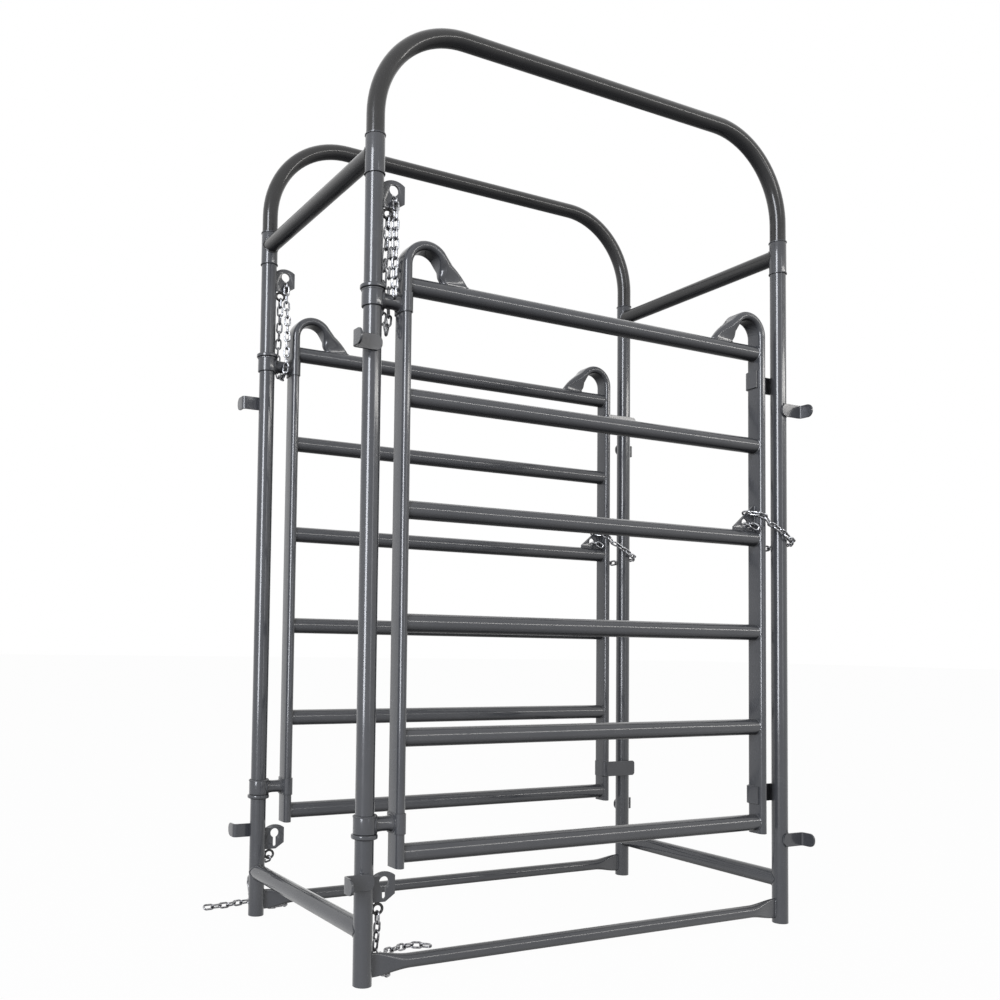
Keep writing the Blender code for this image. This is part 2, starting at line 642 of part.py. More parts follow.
# The lower chains' routes from their anchor rings, in inches. The near one drops behind its sill
# and runs into the alley. The far one is drawn behind its leg and runs out past it.
NEAR_GROUND_ROUTE = (
    (-28.2, -14.6, 4.9), (-28.15, -14.2, 3.6), (-28.1, -14.05, 2.2), (-27.9, -14.1, 1.05),
    (-27.2, -14.3, 0.5), (-26.3, -13.7, 0.37), (-25.8, -12.3, 0.34), (-25.2, -10.5, 0.34),
    (-24.5, -8.8, 0.34), (-23.6, -7.5, 0.34), (-22.4, -6.8, 0.34), (-21.0, -6.4, 0.34),
    (-19.6, -5.9, 0.34), (-18.4, -6.3, 0.34), (-17.3, -7.1, 0.34),
)
FAR_GROUND_ROUTE = (
    (-29.25, 16.6, 6.2), (-29.8, 17.0, 5.2), (-30.1, 17.15, 4.0), (-30.0, 17.2, 2.6),
    (-29.6, 17.2, 1.3), (-28.8, 17.1, 0.5), (-27.6, 16.9, 0.34), (-26.2, 16.75, 0.34),
    (-25.1, 17.0, 0.34), (-24.9, 18.0, 0.34), (-25.9, 19.2, 0.34), (-27.4, 19.9, 0.34),
    (-29.0, 20.2, 0.34), (-30.6, 20.0, 0.34), (-32.2, 19.5, 0.34), (-33.8, 19.4, 0.34),
    (-35.4, 19.3, 0.34),
)


# Gates

def gate_pivot(y):
    """Empty on the hinge axis that carries one gate."""
    pivot = bpy.data.objects.new(gate_name(y) + "_gate_pivot", None)
    pivot.location = (LEFT, y, 0)
    bpy.context.scene.collection.objects.link(pivot)
    return pivot


def hang_on(pivot, obj):
    """Parents a piece, modelled in place, to its gate's pivot."""
    obj.data.transform(Matrix.Translation(-pivot.location))
    obj.parent = pivot
    return obj


def upright_rings(x, y, toward, shrink):
    """Sections of an upright from its open foot, over the top loop, to the pinched end on the top rail."""
    thickness, depth = UPRIGHT_THICKNESS - 2 * shrink, UPRIGHT_DEPTH - 2 * shrink
    foot_length, foot_thickness = LOOP_FOOT_LENGTH - 2 * shrink, LOOP_FOOT_THICKNESS - 2 * shrink
    bend_z = TOP_RAIL_Z + LOOP_RISE
    turned = 135  # degrees that the loop bends before it runs straight down to the rail
    rings = [section(Vector((x, y, UPRIGHT_BOTTOM)), X, Y, thickness, depth)]
    centre = Vector((x + toward * LOOP_RADIUS, y, bend_z))
    for i in range(BEND_STEPS + 1):
        angle = math.radians(180 - turned * i / BEND_STEPS)
        out = X * (toward * math.cos(angle)) + Z * math.sin(angle)
        rings.append(section(centre + out * LOOP_RADIUS, -out * toward, Y, thickness, depth))
    end_of_bend = centre + out * LOOP_RADIUS
    landing = Vector((x + toward * LOOP_REACH, y, TOP_RAIL_Z + TUBE / 2))
    final = Vector((landing.x, y, TOP_RAIL_Z + TUBE / 4))
    lean = math.radians(180 - turned)
    for share in (1 / 2, 1):
        angle = lean * (1 - share)
        across = X * -math.cos(angle) + Z * (-toward * math.sin(angle))
        width = thickness + (foot_length - thickness) * share
        side = depth + (foot_thickness - depth) * share
        rings.append(section(end_of_bend.lerp(landing, share), across, Y, width, side))
    rings.append(section(final, -X, Y, foot_length, foot_thickness))
    return rings


def make_upright(name, x, y, toward, paint):
    """Flat-oval upright whose top bends over and lands on the top rail."""
    outside = upright_rings(x, y, toward, 0)
    upright = skin(name, outside, upright_rings(x, y, toward, TUBE_WALL), paint)
    middle = x + toward * LOOP_REACH
    low, high = Vector((middle - 3 * TUBE, y, TOP_RAIL_Z)), Vector((middle + 3 * TUBE, y, TOP_RAIL_Z))
    if toward > 0:
        low.x = x + UPRIGHT_THICKNESS / 2 + FIT_GAP
    else:
        high.x = x - UPRIGHT_THICKNESS / 2 - FIT_GAP
    return combine(upright, solid_bar(name + "_rail_seat", low, high, TUBE + 2 * FIT_GAP), "DIFFERENCE")


def make_hinge(name, y, height, paint):
    """Sleeve that turns on the leg, a round spacer, and a saddle round the upright."""
    upright_x = LEFT + HINGE_UPRIGHT_X
    low, high = height - HINGE_HEIGHT / 2, height + HINGE_HEIGHT / 2
    hinge = solid_bar(name, Vector((LEFT, y, low)), Vector((LEFT, y, high)), HINGE_WIDTH, paint)
    start = Vector((LEFT + HINGE_WIDTH / 2 - HINGE_WALL / 2, y, height))
    end = Vector((upright_x - UPRIGHT_THICKNESS / 2 - SADDLE_WALL / 2, y, height))
    spacer = solid_bar(name + "_spacer", start, end, HINGE_SPACER)
    combine(hinge, spacer, "UNION")
    half = SADDLE_HEIGHT / 2

    def oval(part, grown, reach):
        rings = []
        for z in (height - reach, height + reach):
            place = Vector((upright_x, y, z))
            rings.append(section(place, X, Y, UPRIGHT_THICKNESS + 2 * grown, UPRIGHT_DEPTH + 2 * grown))
        return skin(name + part, rings, None, None)

    combine(hinge, oval("_saddle", SADDLE_WALL, half), "UNION")
    combine(hinge, oval("_upright_seat", FIT_GAP, 2 * half), "DIFFERENCE")
    bore_low, bore_high = Vector((LEFT, y, low - TUBE)), Vector((LEFT, y, high + TUBE))
    return combine(hinge, solid_bar(name + "_bore", bore_low, bore_high, HINGE_BORE), "DIFFERENCE")


def make_stop_plate(name, y, height, paint):
    """Flat bar bent round the latch upright's inner nose, which stops the gate on the latch leg."""
    into = inward(y)
    x = RIGHT - LATCH_UPRIGHT_X
    offset = UPRIGHT_THICKNESS / 2 + FIT_GAP + PLATE / 2
    nose = UPRIGHT_DEPTH / 2 - UPRIGHT_THICKNESS / 2
    corners = TUBE_SIDES // 4
    angles = [180 - 360 * (i + 0.5) / TUBE_SIDES for i in range(corners)]
    around = []
    for angle in angles:
        turn = math.radians(angle)
        reach = offset * FACET_RATIO
        around.append(Vector((x + reach * math.cos(turn), y + into * (nose + reach * math.sin(turn)), height)))
    end_x = RIGHT + STOP_PLATE_PAST_LEG
    line = y + into * (nose + offset)
    path = [
        Vector((x - offset, y - into * nose, height)),
        *around,
        Vector((end_x - STOP_PLATE_CORNER, line, height)),
        Vector((end_x, line, height)),
    ]
    heights = [STOP_PLATE_HEIGHT] * (len(path) - 1) + [STOP_PLATE_HEIGHT - 2 * STOP_PLATE_CORNER]
    return strip(name, path, heights, PLATE, paint)


def gusset_corner(y):
    """The inner corner of the gusset, where the upright meets the rail under it."""
    x = RIGHT - LATCH_UPRIGHT_X - UPRIGHT_THICKNESS / 2 - FIT_GAP
    z = LOWEST_RAIL_Z + GUSSET_RAIL * RAIL_SPACING + TUBE / 2 + FIT_GAP
    return Vector((x, y, z))


def gusset_hole(y):
    return gusset_corner(y) + Vector((-GUSSET_HOLE_INSET, 0, GUSSET_HOLE_HEIGHT))


def gusset_slope():
    """Direction up along the gusset's sloping edge, and the one square to it and out of the plate."""
    along = Vector((GUSSET_WIDTH, 0, GUSSET_HEIGHT - GUSSET_TOE)).normalized()
    return along, Vector((-along.z, 0, along.x))


def make_gusset(name, y, paint):
    corner = gusset_corner(y)
    outline = [
        corner,
        corner + Z * GUSSET_HEIGHT,
        corner + Vector((-GUSSET_WIDTH, 0, GUSSET_TOE)),
        corner - X * GUSSET_WIDTH,
    ]
    made = plate(name, outline, PLATE, Y, paint)
    slot = gusset_slot_direction()
    hole = keyhole_cutter(name + "_keyhole", gusset_hole(y), GUSSET_HOLE, GUSSET_SLOT, GUSSET_SLOT_REACH, slot, Y)
    return combine(made, hole, "DIFFERENCE")


def gusset_slot_direction():
    return Vector((math.cos(GUSSET_SLOT_SLOPE), 0, -math.sin(GUSSET_SLOT_SLOPE)))


def make_latch_chain(name, y, links, steel):
    """Chain from the gusset's corner round the outside of the latch leg and back into its slot.

    The link before the last lies through the slot, and the last one locks it there.
    """
    _, out = gusset_slope()
    edge = gusset_corner(y) + Vector((-GUSSET_WIDTH, 0, GUSSET_TOE))
    hole = gusset_hole(y)
    strip_middle = hole + out * ((GUSSET_HOLE + (edge - hole).dot(out)) / 2)
    tail, start = strip_middle + Y * (LINK_PITCH / 2), strip_middle - Y * (LINK_PITCH / 2)
    slot = gusset_slot_direction()
    middle = hole + slot * (GUSSET_SLOT_REACH - 0.6 * LINK_WIDTH) - Y * (0.27 * WIRE)
    back, front = middle + Y * (LINK_PITCH / 2), middle - Y * (LINK_PITCH / 2)
    lock = front + Vector((0.2, -0.8, -0.57)).normalized() * LINK_PITCH
    upright_x = RIGHT - LATCH_UPRIGHT_X
    past_nose = UPRIGHT_DEPTH / 2 + LINK_WIDTH / 2 + WIRE_CORNER / 2
    past_leg = LEG_FACE * FACET_RATIO + LINK_WIDTH / 2 + WIRE_CORNER / 2
    top = start.z
    route = [
        start,
        Vector((start.x, start.y - 0.7 * INCH, top)),
        Vector((start.x + 0.7 * INCH, start.y - 1.2 * INCH, top + 0.1 * INCH)),
        Vector((start.x + 1.8 * INCH, y - past_nose, top + 0.05 * INCH)),
        Vector((upright_x, y - past_nose, top - 0.55 * INCH)),
        Vector((RIGHT - 2.0 * INCH, y - past_nose, top - 1.35 * INCH)),
        Vector((RIGHT, y - past_leg - 0.1 * INCH, top - 2.05 * INCH)),
        Vector((RIGHT + 0.8 * past_leg, y - 0.75 * past_leg, top - 2.5 * INCH)),
        Vector((RIGHT + 1.1 * past_leg, y, top - 2.8 * INCH)),
        Vector((RIGHT + 0.8 * past_leg, y + 0.75 * past_leg, top - 2.95 * INCH)),
        Vector((RIGHT, y + past_leg + 0.1 * INCH, top - 2.9 * INCH)),
        Vector((RIGHT - 2.0 * INCH, y + past_nose, top - 2.4 * INCH)),
        Vector((upright_x + 0.3 * INCH, y + past_nose, top - 1.8 * INCH)),
        Vector((upright_x - 0.7 * INCH, y + past_nose, top - 1.4 * INCH)),
        back + Vector((0.15, 0.9, -0.1)) * INCH,
        back,
    ]
    nodes = [tail, *chain_nodes(route, links), front, lock]
    return add_chain(name, nodes, out, links + 1, slot, steel)


def make_gate(y, paint, steel):
    """One swing gate: two uprights, six rails, two hinges, two stop plates, a gusset and its chain."""
    side = gate_name(y)
    pivot = gate_pivot(y)
    hinge_x, latch_x = LEFT + HINGE_UPRIGHT_X, RIGHT - LATCH_UPRIGHT_X
    hang_on(pivot, make_upright(side + "_gate_hinge_upright", hinge_x, y, 1, paint))
    hang_on(pivot, make_upright(side + "_gate_latch_upright", latch_x, y, -1, paint))
    start = hinge_x + UPRIGHT_THICKNESS / 2 + FIT_GAP
    end = latch_x - UPRIGHT_THICKNESS / 2 - FIT_GAP
    for i in range(RAIL_COUNT):
        z = LOWEST_RAIL_Z + i * RAIL_SPACING
        rail = straight_tube(f"{side}_gate_rail_{i + 1}", Vector((start, y, z)), Vector((end, y, z)),
                             TUBE, TUBE_WALL, paint)
        hang_on(pivot, rail)
    for place, height in zip(("lower", "upper"), HINGE_HEIGHTS):
        hang_on(pivot, make_hinge(f"{side}_gate_{place}_hinge", y, height, paint))
    for place, height in zip(("lower", "upper"), STOP_PLATE_HEIGHTS):
        hang_on(pivot, make_stop_plate(f"{side}_gate_{place}_stop_plate", y, height, paint))
    hang_on(pivot, make_gusset(f"{side}_gate_latch_gusset", y, paint))
    hang_on(pivot, make_latch_chain(f"{side}_gate_latch_chain", y, 21, steel))


def make_frame(paint, steel):
    """Everything that stands still: legs, arches, sleeves, ties, sills, hooks, plates and chains."""
    for x, end in ((LEFT, "hinge"), (RIGHT, "latch")):
        for y in (NEAR, FAR):
            corner = f"{gate_name(y)}_{end}"
            make_leg(corner + "_leg", x, y, paint)
            make_sleeve(corner + "_sleeve", x, y, paint)
            for place, height in zip(("lower", "upper"), HOOK_HEIGHTS):
                make_hook(f"{corner}_{place}_hook", x, y, height, paint)
        make_tie(f"{end}_end_top_tie", x, TOP_TIE_Z, SLEEVE_WIDTH, paint)
        make_tie(f"{end}_end_bottom_tie", x, BOTTOM_TIE_Z, TUBE, paint)
    for y in (NEAR, FAR):
        side = gate_name(y)
        make_arch(side + "_arch", y, paint)
        make_sill(side + "_sill", y, paint)
        for place, top in zip(("lower", "upper"), KEYHOLE_PLATE_TOPS):
            make_keyhole_plate(f"{side}_{place}_keyhole_plate", y, top, paint)
    make_upper_chain("near_upper_chain", NEAR, 25, 9, steel)
    make_upper_chain("far_upper_chain", FAR, 25, 1, steel)
    make_lower_chain("near_lower_chain", NEAR, (0, 0, -1), Y, NEAR_GROUND_ROUTE, 23, 8, steel)
    make_lower_chain("far_lower_chain", FAR, (-0.35, 0.85, -0.4), Z, FAR_GROUND_ROUTE, 26, 8, steel)


def main():
    clear_scene()
    paint = make_material("grey_enamel", (0.075, 0.078, 0.088), 0.25, 0.0)
    steel = make_material("zinc_plated_steel", (0.62, 0.63, 0.65), 0.3, 1.0)
    make_frame(paint, steel)
    for y in (NEAR, FAR):
        make_gate(y, paint, steel)


main()
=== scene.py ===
"""Livestock sorting gate: the finished look of its enamelled tubes, plates, welds and chains.

X runs along the alley, from the hinge legs at -X to the latch legs at +X. Y runs across it, from
the near gate to the far one, and Z is up from the ground. All sizes are in metres.
"""

import logging
from dataclasses import dataclass
from enum import Enum
from math import asin, atan2, copysign, cos, pi, radians, sin, sqrt, tau
from typing import ClassVar, Sequence

import bmesh
import bpy
from mathutils import Matrix, Vector


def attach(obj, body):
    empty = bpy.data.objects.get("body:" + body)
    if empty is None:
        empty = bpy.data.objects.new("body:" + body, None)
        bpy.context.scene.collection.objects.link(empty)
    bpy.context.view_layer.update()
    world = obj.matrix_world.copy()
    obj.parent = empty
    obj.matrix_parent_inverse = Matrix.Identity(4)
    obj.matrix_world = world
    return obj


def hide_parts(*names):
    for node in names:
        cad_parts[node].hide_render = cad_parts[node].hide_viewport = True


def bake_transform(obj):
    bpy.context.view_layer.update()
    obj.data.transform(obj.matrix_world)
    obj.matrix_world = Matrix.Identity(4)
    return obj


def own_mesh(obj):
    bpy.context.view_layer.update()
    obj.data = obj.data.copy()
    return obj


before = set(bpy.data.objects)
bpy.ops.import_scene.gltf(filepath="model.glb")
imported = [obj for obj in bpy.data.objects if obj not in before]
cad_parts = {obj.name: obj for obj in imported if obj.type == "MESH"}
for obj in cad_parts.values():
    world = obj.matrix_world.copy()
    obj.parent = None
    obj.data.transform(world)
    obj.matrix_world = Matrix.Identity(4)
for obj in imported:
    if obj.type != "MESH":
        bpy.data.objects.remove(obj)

log = logging.getLogger("sorting_gate")

INCH = 0.0254
X, Y, Z = Vector((1, 0, 0)), Vector((0, 1, 0)), Vector((0, 0, 1))
Ring = Sequence[Vector]
Outline = Sequence[tuple[float, float]]
Pair = tuple[float, float]
Colour = tuple[float, float, float]
Socket = bpy.types.NodeSocket


class Slot(Enum):
    """The record's material slots."""

    ENAMEL = "frame_enamel"
    CHAIN = "chain_steel"


class Place(Enum):
    """A choice of places that pieces are named for."""

    @property
    def label(self) -> str:
        """The place as the pieces' names have it."""
        return self.name.lower()


class Side(Place):
    """The two sides of the alley, each with the sign of its Y."""

    NEAR = -1
    FAR = 1


class End(Place):
    """The two ends of the alley, each with the sign of its X."""

    HINGE = -1
    LATCH = 1


class Level(Place):
    """The lower and the upper piece of a kind, each with its index in a pair of sizes."""

    LOWER = 0
    UPPER = 1


@dataclass(frozen=True)
class Sizes:
    """Sizes that more than one piece of the gate is built to."""

    length: float = 60 * INCH
    width: float = 30 * INCH
    tube: float = 2.0 * INCH
    wall: float = 0.095 * INCH
    leg_top: float = 86.4 * INCH
    plate: float = 0.25 * INCH
    first_rail: float = 13.0 * INCH
    rail_step: float = 12.0 * INCH
    rails: int = 6
    upright_thickness: float = 1.05 * INCH
    upright_depth: float = 2.47 * INCH
    upright_insets: Pair = (3.73 * INCH, 3.95 * INCH)
    sleeve_radius: float = 1.065 * INCH
    hinge_heights: Pair = (16.2 * INCH, 70.95 * INCH)
    spacer: float = 1.6 * INCH
    keyhole_tops: Pair = (11.3 * INCH, 84.1 * INCH)
    keyhole_tall: float = 3.1 * INCH
    keyhole_drop: float = 1.07 * INCH
    keyhole_inset: float = 1.3 * INCH
    keyhole_reach: float = 1.7 * INCH
    gap: float = 0.0003
    weld: float = 0.001

    @property
    def radius(self) -> float:
        """Radius of the two-inch tube."""
        return self.tube / 2

    @property
    def top_rail(self) -> float:
        """Height of the top rail's centre line."""
        return self.first_rail + (self.rails - 1) * self.rail_step

    def y(self, side: Side) -> float:
        """Where the legs of one side stand."""
        return side.value * self.width / 2

    def at(self, end: End, side: Side, height: float = 0.0) -> Vector:
        """A point on a leg's centre line."""
        return Vector((end.value * self.length / 2, self.y(side), height))


SIZES = Sizes()


class Graph:
    """A node tree, with short ways to add the few kinds of node that the finishes need."""

    def __init__(self, tree: bpy.types.NodeTree) -> None:
        """Takes up the tree that the nodes go into."""
        self.tree = tree

    def fill(self, node: bpy.types.Node, *placed: object, **named: object) -> bpy.types.Node:
        """Sets a node's inputs to values, or links them where it is given another node's output.

        Args:
            node: The node.
            placed: What goes into its first inputs.
            named: What goes into other inputs, by their names with underscores for spaces.

        Returns:
            The node.
        """
        for key, value in [*enumerate(placed), *named.items()]:
            target = node.inputs[key.replace("_", " ") if isinstance(key, str) else key]
            if isinstance(value, Socket):
                self.tree.links.new(value, target)
            else:
                target.default_value = value
        return node

    def add(self, kind: str, *placed: object, **named: object) -> bpy.types.Node:
        """Adds a node.

        Args:
            kind: Its kind, without the word that all kinds start with.
            placed: What goes into its first inputs.
            named: What goes into other inputs, and its own settings, which are in lower case.

        Returns:
            The node.
        """
        node = self.tree.nodes.new("ShaderNode" + kind)
        for name in [name for name in named if name.islower()]:
            setattr(node, name, named.pop(name))
        return self.fill(node, *placed, **named)

    def shade(self, **values: object) -> None:
        """Fills inputs of the material's shader."""
        self.fill(self.tree.nodes["Principled BSDF"], **values)

    def noise(self, scale: float, detail: float = 3.0) -> Socket:
        """Cloudy noise over the surface, with its clouds per metre and its finer layers."""
        place = self.add("TexCoord").outputs["Object"]
        return self.add("TexNoise", Scale=scale, Detail=detail, Vector=place).outputs["Fac"]

    def ranged(self, source: Socket, low: float, high: float, start: float = 0.3,
               end: float = 0.7) -> Socket:
        """Maps a value, which becomes low at start and high at end."""
        ends = {"From_Min": start, "From_Max": end, "To_Min": low, "To_Max": high}
        return self.add("MapRange", Value=source, **ends).outputs["Result"]

    def blend(self, factor: Socket, first: Colour | Socket, second: Colour) -> Socket:
        """Mixes two colours, by how much of the second shows."""
        base = first if isinstance(first, Socket) else (*first, 1)
        return self.add("Mix", data_type="RGBA", Factor=factor, A=base, B=(*second, 1)).outputs["Result"]

    def bump(self, height: Socket, strength: float, distance: float, **under: Socket) -> Socket:
        """Turns a height, with its depth in metres, into a bent normal, which may lie on another."""
        return self.add("Bump", Height=height, Strength=strength, Distance=distance, **under).outputs[0]

    def upward(self) -> Socket:
        """How far the surface faces up: one on top, and minus one below."""
        normal = self.add("NewGeometry").outputs["Normal"]
        return self.add("SeparateXYZ", Vector=normal).outputs["Z"]

    def seen(self) -> Socket:
        """One where a ray sees the white surroundings, directly, in a gloss or through glass.

        Returns:
            The value.
        """
        rays = self.add("LightPath").outputs
        value = rays["Is Camera Ray"]
        for name in ("Is Glossy Ray", "Is Transmission Ray"):
            value = self.add("Math", value, rays[name], operation="MAXIMUM").outputs[0]
        return value


@dataclass(frozen=True)
class Finish:
    """A finish that several pieces share."""

    name: str
    slot: Slot

    def dress(self, graph: Graph) -> None:
        """Wires the finish's own nodes."""
        raise NotImplementedError

    def material(self) -> bpy.types.Material:
        """Builds the material once and then hands out the same one.

        Returns:
            The material.
        """
        made = bpy.data.materials.get(self.name)
        if not made:
            made = bpy.data.materials.new(self.name)
            made.use_nodes = True
            self.dress(Graph(made.node_tree))
        return made


@dataclass(frozen=True)
class Enamel(Finish):
    """Baked gloss enamel over steel tube, with a fine orange peel, a little dust on top and painted shade
    where it faces down.
    """

    name: str = "dark grey gloss enamel"
    slot: Slot = Slot.ENAMEL
    colour: Colour = (0.042, 0.044, 0.049)
    thin: Colour = (0.055, 0.056, 0.060)
    dust: Colour = (0.075, 0.074, 0.072)
    # Painted shade: the colour that the enamel turns to where it faces down.
    under: Colour = (0.014, 0.014, 0.015)
    gloss: Pair = (0.16, 0.30)
    mottle_scale: float = 5.0
    speck_scale: float = 900.0
    gloss_scale: float = 22.0
    runs_scale: float = 28.0
    runs_depth: float = 0.004
    runs: float = 0.06
    peel_scale: float = 420.0
    peel_depth: float = 0.0008
    peel: float = 0.10
    coat: float = 0.7
    coat_roughness: float = 0.09
    # Painted shade also lowers the coat and the specular level where the surface faces down.
    coat_under: float = 0.12
    specular: Pair = (0.22, 0.02)
    turning_under: Pair = (-0.25, -0.75)

    def dress(self, graph: Graph) -> None:
        """Wires the enamel, with painted shade that makes it darker and duller where it faces down.

        Args:
            graph: The material's nodes.
        """
        toned = graph.blend(graph.ranged(graph.noise(self.mottle_scale), 0.0, 1.0), self.colour, self.thin)
        speckled = graph.ranged(graph.noise(self.speck_scale, 1.0), 0.0, 0.5, 0.62, 0.75)
        toned = graph.blend(speckled, toned, self.thin)
        settled = graph.ranged(graph.upward(), 0.0, 0.45, 0.75, 1.0)
        # Painted shade: this mask darkens the base colour towards the under colour where the surface faces
        # down.
        painted_shade_mask = graph.ranged(graph.upward(), 0.0, 1.0, -0.2, -0.9)
        runs = graph.bump(graph.noise(self.runs_scale, 2.0), self.runs, self.runs_depth)
        peel = graph.noise(self.peel_scale, 2.0)
        graph.shade(
            Metallic=0.0,
            Coat_Roughness=self.coat_roughness,
            IOR=1.5,
            Coat_Weight=graph.ranged(graph.upward(), self.coat, self.coat_under, *self.turning_under),
            Specular_IOR_Level=graph.ranged(graph.upward(), *self.specular, *self.turning_under),
            Base_Color=graph.blend(painted_shade_mask, graph.blend(settled, toned, self.dust), self.under),
            Roughness=graph.ranged(graph.noise(self.gloss_scale, 4.0), *self.gloss),
            Normal=graph.bump(peel, self.peel, self.peel_depth, Normal=runs),
        )


@dataclass(frozen=True)
class ZincPlate(Finish):
    """Bright zinc plate on chain links, duller where it was handled, with painted shade where it faces down.
    """

    name: str = "bright zinc plate"
    slot: Slot = Slot.CHAIN
    colour: Colour = (0.60, 0.61, 0.63)
    dull: Colour = (0.17, 0.17, 0.18)
    # Painted shade: the colour that the zinc turns to where it faces down.
    under: Colour = (0.035, 0.035, 0.04)
    gloss: Pair = (0.14, 0.32)
    patch_scale: float = 110.0
    gloss_scale: float = 160.0
    grain_scale: float = 700.0
    grain_depth: float = 0.0004
    grain: float = 0.12

    def dress(self, graph: Graph) -> None:
        """Wires the zinc, with its dull patches and painted shade where it faces down.

        Args:
            graph: The material's nodes.
        """
        patches = graph.ranged(graph.noise(self.patch_scale, 4.0), 0.0, 1.0, 0.42, 0.62)
        # Painted shade: this mask darkens the base colour towards the under colour where the surface faces
        # down.
        painted_shade_mask = graph.ranged(graph.upward(), 0.0, 1.0, 0.15, -0.75)
        graph.shade(
            Metallic=1.0,
            Base_Color=graph.blend(painted_shade_mask, graph.blend(patches, self.colour, self.dull), self.under),
            Roughness=graph.ranged(graph.noise(self.gloss_scale, 3.0), *self.gloss),
            Normal=graph.bump(graph.noise(self.grain_scale, 2.0), self.grain, self.grain_depth),
        )


ENAMEL = Enamel()
# A copy of the same enamel, painted much darker as shade, for the bows and the top ties.
SHADE_PAINTED_TOP_ENAMEL = Enamel(name="dark grey gloss enamel of the bows and top ties", colour=(0.017, 0.0165, 0.0165),
                     thin=(0.024, 0.0235, 0.023), dust=(0.020, 0.0195, 0.019), coat=0.5)
RING_STEEL = Enamel(name="dark bare ring steel", colour=(0.012, 0.012, 0.012), thin=(0.03, 0.028, 0.028),
                    gloss=(0.28, 0.45), coat=0.3)
BRIGHT_ZINC = ZincPlate()
# A darker, duller zinc for the chains that lie on the ground.
LOWER_CHAIN_ZINC = ZincPlate(name="ground-worn zinc plate", colour=(0.40, 0.40, 0.41), dull=(0.13, 0.13, 0.14),
                      gloss=(0.24, 0.42))


def heading(degrees: float, across: Vector = X, up: Vector = Z) -> Vector:
    """Unit vector at an angle from across towards up."""
    return across * cos(radians(degrees)) + up * sin(radians(degrees))


def eased(first: float, last: float, share: float) -> float:
    """A value on its way from first to last, with a slow start and a slow end."""
    return first + (last - first) * share * share * (3 - 2 * share)


def offsets(*rows: tuple[Vector, float, float, float]) -> list[Vector]:
    """Points, each given by a known one and the inches from it along X, Y and Z."""
    return [origin + Vector(inches) * INCH for origin, *inches in rows]


def section(centre: Vector, across: Vector, side: Vector, width: float, depth: float,
            sides: int = 40) -> list[Vector]:
    """Points round a tube: a circle, or a flat oval where the two sizes differ.

    Args:
        centre: The section's centre.
        across: Unit vector along the width.
        side: Unit vector along the depth.
        width: Size along across.
        depth: Size along side.
        sides: How many points.

    Returns:
        The points in order.
    """
    radius = min(width, depth) / 2
    points = []
    for i in range(sides):
        angle = tau * (i + 0.5) / sides
        a, b = cos(angle), sin(angle)
        u = radius * a + copysign(width / 2 - radius, a)
        v = radius * b + copysign(depth / 2 - radius, b)
        points.append(centre + across * u + side * v)
    return points


def arc(centre: Vector, radius: float, first: float, last: float, steps: int, across: Vector = X,
        up: Vector = Z) -> list[Vector]:
    """Points on a circle from one angle to another, in degrees from across towards up."""
    turns = [first + (last - first) * i / steps for i in range(steps + 1)]
    return [centre + heading(turn, across, up) * radius for turn in turns]


def rounded(inner: float, outer: float, bottom: float, top: float, fillet: float) -> list[Pair]:
    """Profile of a turned ring, as (radius, height) pairs, with its outer edges rounded.

    Args:
        inner: The bore's radius.
        outer: The outside radius.
        bottom: Height of the lower face.
        top: Height of the upper face.
        fillet: Radius of the rounding.

    Returns:
        The profile, going up the outside and closed down the bore.
    """
    turns = [radians(22.5 * i) for i in range(5)]
    low = [(outer - fillet + fillet * sin(a), bottom + fillet - fillet * cos(a)) for a in turns]
    high = [(outer - fillet + fillet * cos(a), top - fillet + fillet * sin(a)) for a in turns]
    return [(inner, bottom), *low, *high, (inner, top)]


def round_tip(height: float, radius: float, steps: int) -> list[Pair]:
    """The rounded end of a flat bar, as how far in from its tip and how tall the bar is there."""
    turns = [radians(90 * i / steps) for i in range(steps + 1)]
    return [(radius * (1 - cos(turn)), height - 2 * radius * (1 - sin(turn))) for turn in turns]


def keyhole(radius: float, slot: float, reach: float, slope: float, steps: int) -> list[Pair]:
    """Outline of a keyhole, measured from the middle of its round part.

    Args:
        radius: Radius of the round part.
        slot: Width of the slot.
        reach: How far the slot reaches from the middle.
        slope: The slot's direction, as an angle from the first number's axis.
        steps: How many steps the round part takes.

    Returns:
        The outline, clockwise.
    """
    half = slot / 2
    neck = asin(half / radius)
    turns = [slope - neck - (tau - 2 * neck) * i / steps for i in range(steps + 1)]
    points = [(radius * cos(turn), radius * sin(turn)) for turn in turns]
    end = reach - half
    for i in range(9):
        turn = slope + pi / 2 - pi * i / 8
        points.append((end * cos(slope) + half * cos(turn), end * sin(slope) + half * sin(turn)))
    return points


def mouth(outside: Sequence[Ring], inside: Sequence[Ring]) -> list[Ring]:
    """Rings of a tube that is open at its start, from where the view into its bore stops."""
    return [inside[1], inside[0], *outside]


